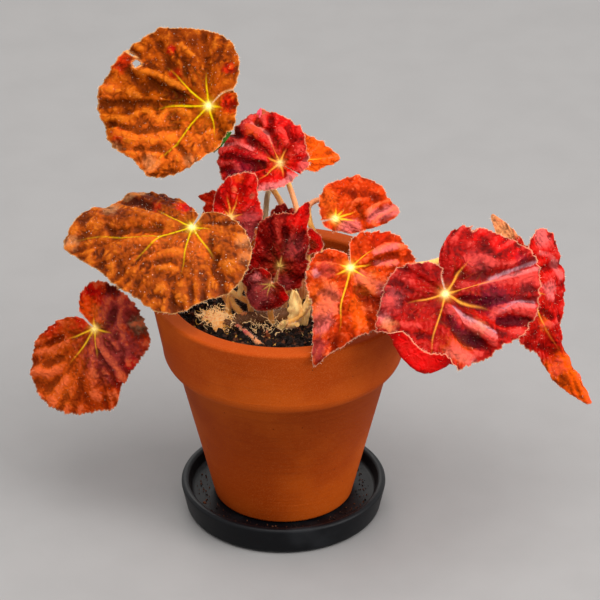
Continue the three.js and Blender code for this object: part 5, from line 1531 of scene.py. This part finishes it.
class BEGONIA_OT_rhizome(BegoniaOperator, Operator):
    """Grows the knotty rhizome and its stubs"""
    bl_idname = "begonia.rhizome"
    bl_label = "Rhizome"

    def execute(self, context):
        lines = []
        for stem in RHIZOME_STEMS:
            points = smooth_route(stem, 14) * MM
            t = np.linspace(0, 1, len(points))
            ends = np.sqrt(np.clip(1 - np.abs(2 * t - 1) ** 14, 0.02, 1))
            lines.append((points, self.sizes.rhizome_radius * ends * (1 + 0.08 * np.sin(t * 40))))
        piece = self.stalks("rhizome_stem", lines, self.stalk_skin("bark"), sides=24, knob_height=2.2 * MM,
                            knob_size=3.4 * MM, hair_density=PER_SQUARE_METRE["rhizome"], seed=3)
        settle(piece, "stem", "rhizome")
        for kind, routes in OLD_STALKS.items():
            lines = []
            for number, old in enumerate(routes):
                points = smooth_route(old, 12) * MM
                t = np.linspace(0, 1, len(points))
                rings = 1.1 - 0.15 * t + 0.1 * np.sin(t * 15 + number) + 0.07 * np.sin(t * 70)
                lines.append((points, self.sizes.stalk_radius * rings))
            piece = self.stalks("old_stalks_" + kind, lines, self.stalk_skin(kind), sides=16,
                                knob_height=0.9 * MM, knob_size=1.6 * MM,
                                hair_density=PER_SQUARE_METRE["old_stalks"], seed=4)
            settle(piece, "stem")
        return {"FINISHED"}


def sheet_mesh(name, grid, thickness):
    """A closed thin sheet whose face is a grid of points."""
    at = np.arange(grid.shape[0] * grid.shape[1]).reshape(grid.shape[:2])
    quads = grid_quads(at)
    loop = [*at[:, 0], *at[-1, 1:], *at[-2::-1, -1], *at[0, -2:0:-1]]
    walls = [(b, a, a + at.size, b + at.size) for a, b in zip(loop, loop[1:] + loop[:1])]
    points = np.vstack([grid.reshape(-1, 3), (grid - grid_normals(grid) * thickness).reshape(-1, 3)])
    return new_mesh(name, points, [*quads.tolist(), *(quads[:, ::-1] + at.size).tolist(), *walls])


class BEGONIA_OT_scraps(BegoniaOperator, Operator):
    """Adds the papery scales at the stalks' feet and the scraps of young blades"""
    bl_idname = "begonia.scraps"
    bl_label = "Scales and scraps"

    def execute(self, context):
        t, s = np.meshgrid(np.linspace(0, 1, 22), np.linspace(-1, 1, 13), indexing="ij")
        for number, (name, foot, tip, width, facing, paint) in enumerate(SCRAPS):
            foot, tip = np.array(foot, float), np.array(tip, float)
            run = tip - foot
            side = unit(np.cross(run, facing))
            face = unit(np.cross(side, run))
            torn = 1 + 0.16 * ripple(np.stack([t * 9, np.sign(s)], -1), 2.0, number)
            half = 0.5 * width * np.sin(np.pi * (0.2 + 0.76 * t)) ** 0.7 * torn
            bend = 0.1 * np.linalg.norm(run) * np.sin(np.pi * t) - 0.3 * width * s ** 2
            bend = bend + 0.12 * width * ripple(np.stack([t * 6, s * 3], -1), 3.0, number + 40)
            grid = foot + run * t[..., None] + side * (half * s)[..., None] + face * bend[..., None]
            piece = new_object(name, sheet_mesh(name, grid * MM, 0.18 * MM))
            skin = "scrap_" + paint
            piece.data.materials.append(
                bpy.data.materials.get(skin) or husk_finish(skin, getattr(self.colours, paint)))
            settle(piece, "stem")
        return {"FINISHED"}


class BEGONIA_OT_tufts(BegoniaOperator, Operator):
    """Strews tufts of moss and dry fibres on the soil"""
    bl_idname = "begonia.tufts"
    bl_label = "Moss and fibres"

    def execute(self, context):
        for number, (name, centre, spread, count, long, paint) in enumerate(TUFTS):
            rng = np.random.default_rng(70 + number)
            lines = []
            for _ in range(count):
                spots = [np.array(centre) + rng.normal(size=3) * spread]
                heading = unit(rng.normal(size=3) + (0, 0, 0.3))
                for _ in range(5):
                    heading = unit(heading + 0.6 * rng.normal(size=3))
                    spots.append(spots[-1] + heading * long / 5 * rng.uniform(0.5, 1.2))
                points = smooth_route(spots, 2) * MM
                points[:, 2] = np.maximum(points[:, 2], LOWEST_FIBRE)
                lines.append((points, rng.uniform(0.08, 0.27) * MM * np.linspace(1, 0.5, len(points))))
            # the tufts get a stronger painted glow, which lifts them out of the leaves' shade
            skin = husk_finish("tuft_" + paint, getattr(self.colours, paint), 0.22)
            piece = self.stalks(name, lines, skin, sides=5, knob_height=0.0, knob_size=1 * MM,
                                hair_density=0.0, seed=1)
            settle(piece, "soil")
        return {"FINISHED"}


class BEGONIA_OT_stalks(BegoniaOperator, Operator):
    """Grows the hairy leaf stalks"""
    bl_idname = "begonia.stalks"
    bl_label = "Leaf stalks"

    def execute(self, context):
        for number, leaf in enumerate(LEAVES):
            star, normal, _, _ = blade_axes(leaf)
            route = [*leaf["route"], star - normal * 3.5, star - normal * 0.75]
            points = smooth_route(route, 12) * MM
            t = np.linspace(0, 1, len(points))
            radii = self.sizes.stalk_radius * (1.22 - 0.42 * t + 0.35 * np.exp(-((1 - t) / 0.02) ** 2))
            piece = self.stalks("stalk_" + leaf["name"], [(points, radii)], self.stalk_skin(leaf["stalk"]),
                                sides=14, knob_height=0.35 * MM, knob_size=2.2 * MM,
                                hair_density=PER_SQUARE_METRE["stalk"], seed=number)
            settle(piece, "stem", "petiole_" + leaf["name"])
        return {"FINISHED"}


class BEGONIA_OT_leaves(BegoniaOperator, Operator):
    """Grows the puckered, hairy leaf blades"""
    bl_idname = "begonia.leaves"
    bl_label = "Leaf blades"

    def execute(self, context):
        tree = blade_tree()
        for number, leaf in enumerate(LEAVES):
            name = "blade_" + leaf["name"]
            blade = new_object(name, build_blade(leaf, self.sizes, 100 + 31 * number))
            piece = shaped(blade, tree, name, fringe_density=PER_SQUARE_METRE["fringe"],
                           face_density=PER_SQUARE_METRE["face"], seed=number, skin=leaf_finish(leaf),
                           **self.hairs())
            settle(piece, "leaf_" + leaf["family"], "leaf_" + leaf["name"])
        return {"FINISHED"}


class BEGONIA_OT_stage(BegoniaOperator, Operator):
    """Sets the floor, the lights and the camera"""
    bl_idname = "begonia.stage"
    bl_label = "Stage"

    TARGET = Vector((8.30, 0, 117.37)) * MM
    DISTANCE = 2205 * MM
    ELEVATION = math.radians(29.71)
    LENS = 269.0
    LIGHTS = (   # name, place, power, size and tint
        ("key_light", (0.1, -0.5, 1.6), 25, 1.3, (1, 0.99, 0.98)),
        ("fill_light", (1.3, -0.6, 0.8), 17, 0.9, (1, 0.99, 0.98)),
        ("back_light", (-0.3, 1.3, 1.1), 5, 0.6, (1, 0.97, 0.93)),
    )

    def light(self, name, place, power, size, tint):
        """A square light that looks at the plant"""
        data = bpy.data.lights.new(name, "AREA")
        data.energy, data.size, data.color = power, size, tint
        lamp = new_object(name, data)
        lamp.location = place
        lamp.rotation_euler = (self.TARGET - Vector(place)).to_track_quat("-Z", "Y").to_euler()

    def execute(self, context):
        scene = context.scene
        half = 4.0
        corners = [(-half, -half, 0), (half, -half, 0), (half, half, 0), (-half, half, 0)]
        floor = new_object("floor", new_mesh("floor", corners, [(0, 1, 2, 3)]))
        f = Finish("pale_floor")
        paint = self.colours.floor
        tone = f.mix(f.ramp(f.noise(0.03, 4), 0.3, 0.75), paint, [c * 0.96 for c in paint])
        floor.data.materials.append(f.set(Base_Color=tone, Roughness=0.8))

        camera = new_object("camera", bpy.data.cameras.new("camera"))
        back = Vector((0, -math.cos(self.ELEVATION), math.sin(self.ELEVATION)))
        camera.location = self.TARGET + back * self.DISTANCE
        camera.rotation_euler = (-back).to_track_quat("-Z", "Y").to_euler()
        camera.data.sensor_width = 36
        camera.data.lens = self.LENS
        camera.data.clip_end = 50
        scene.camera = camera

        world = bpy.data.worlds.new("studio")
        world.use_nodes = True
        sky = world.node_tree.nodes["Background"].inputs
        sky["Color"].default_value = (1, 1, 1, 1)
        sky["Strength"].default_value = 0.9
        scene.world = world
        for light in self.LIGHTS:
            self.light(*light)
        scene.view_settings.view_transform = "Standard"
        scene.view_settings.look = "None"
        return {"FINISHED"}


PIECES = (
    BEGONIA_OT_saucer, BEGONIA_OT_pot, BEGONIA_OT_soil, BEGONIA_OT_saucer_crumbs,
    BEGONIA_OT_rhizome, BEGONIA_OT_scraps, BEGONIA_OT_tufts, BEGONIA_OT_stalks, BEGONIA_OT_leaves,
)


class BEGONIA_PT_panel(Panel):
    """The begonia's pieces, sizes and colours"""
    bl_idname = "BEGONIA_PT_panel"
    bl_label = "Potted begonia"
    bl_space_type = "VIEW_3D"
    bl_region_type = "UI"
    bl_category = "Begonia"

    def draw(self, context):
        layout = self.layout
        for piece in (BEGONIA_OT_stage, *PIECES):
            layout.operator(piece.bl_idname)
        for name, group in GROUPS.items():
            box = layout.box()
            for field in group.__annotations__:
                box.prop(getattr(context.scene, name), field)


CLASSES = (*GROUPS.values(), BEGONIA_OT_stage, *PIECES, BEGONIA_PT_panel)


def register():
    for part in CLASSES:
        bpy.utils.register_class(part)
    for name, group in GROUPS.items():
        setattr(bpy.types.Scene, name, PointerProperty(type=group))


def unregister():
    for name in GROUPS:
        delattr(bpy.types.Scene, name)
    for part in reversed(CLASSES):
        bpy.utils.unregister_class(part)


def main():
    register()
    for piece in (BEGONIA_OT_stage, *PIECES):
        group, call = piece.bl_idname.split(".")
        getattr(getattr(bpy.ops, group), call)()
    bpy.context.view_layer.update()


if __name__ == "__main__":
    main()
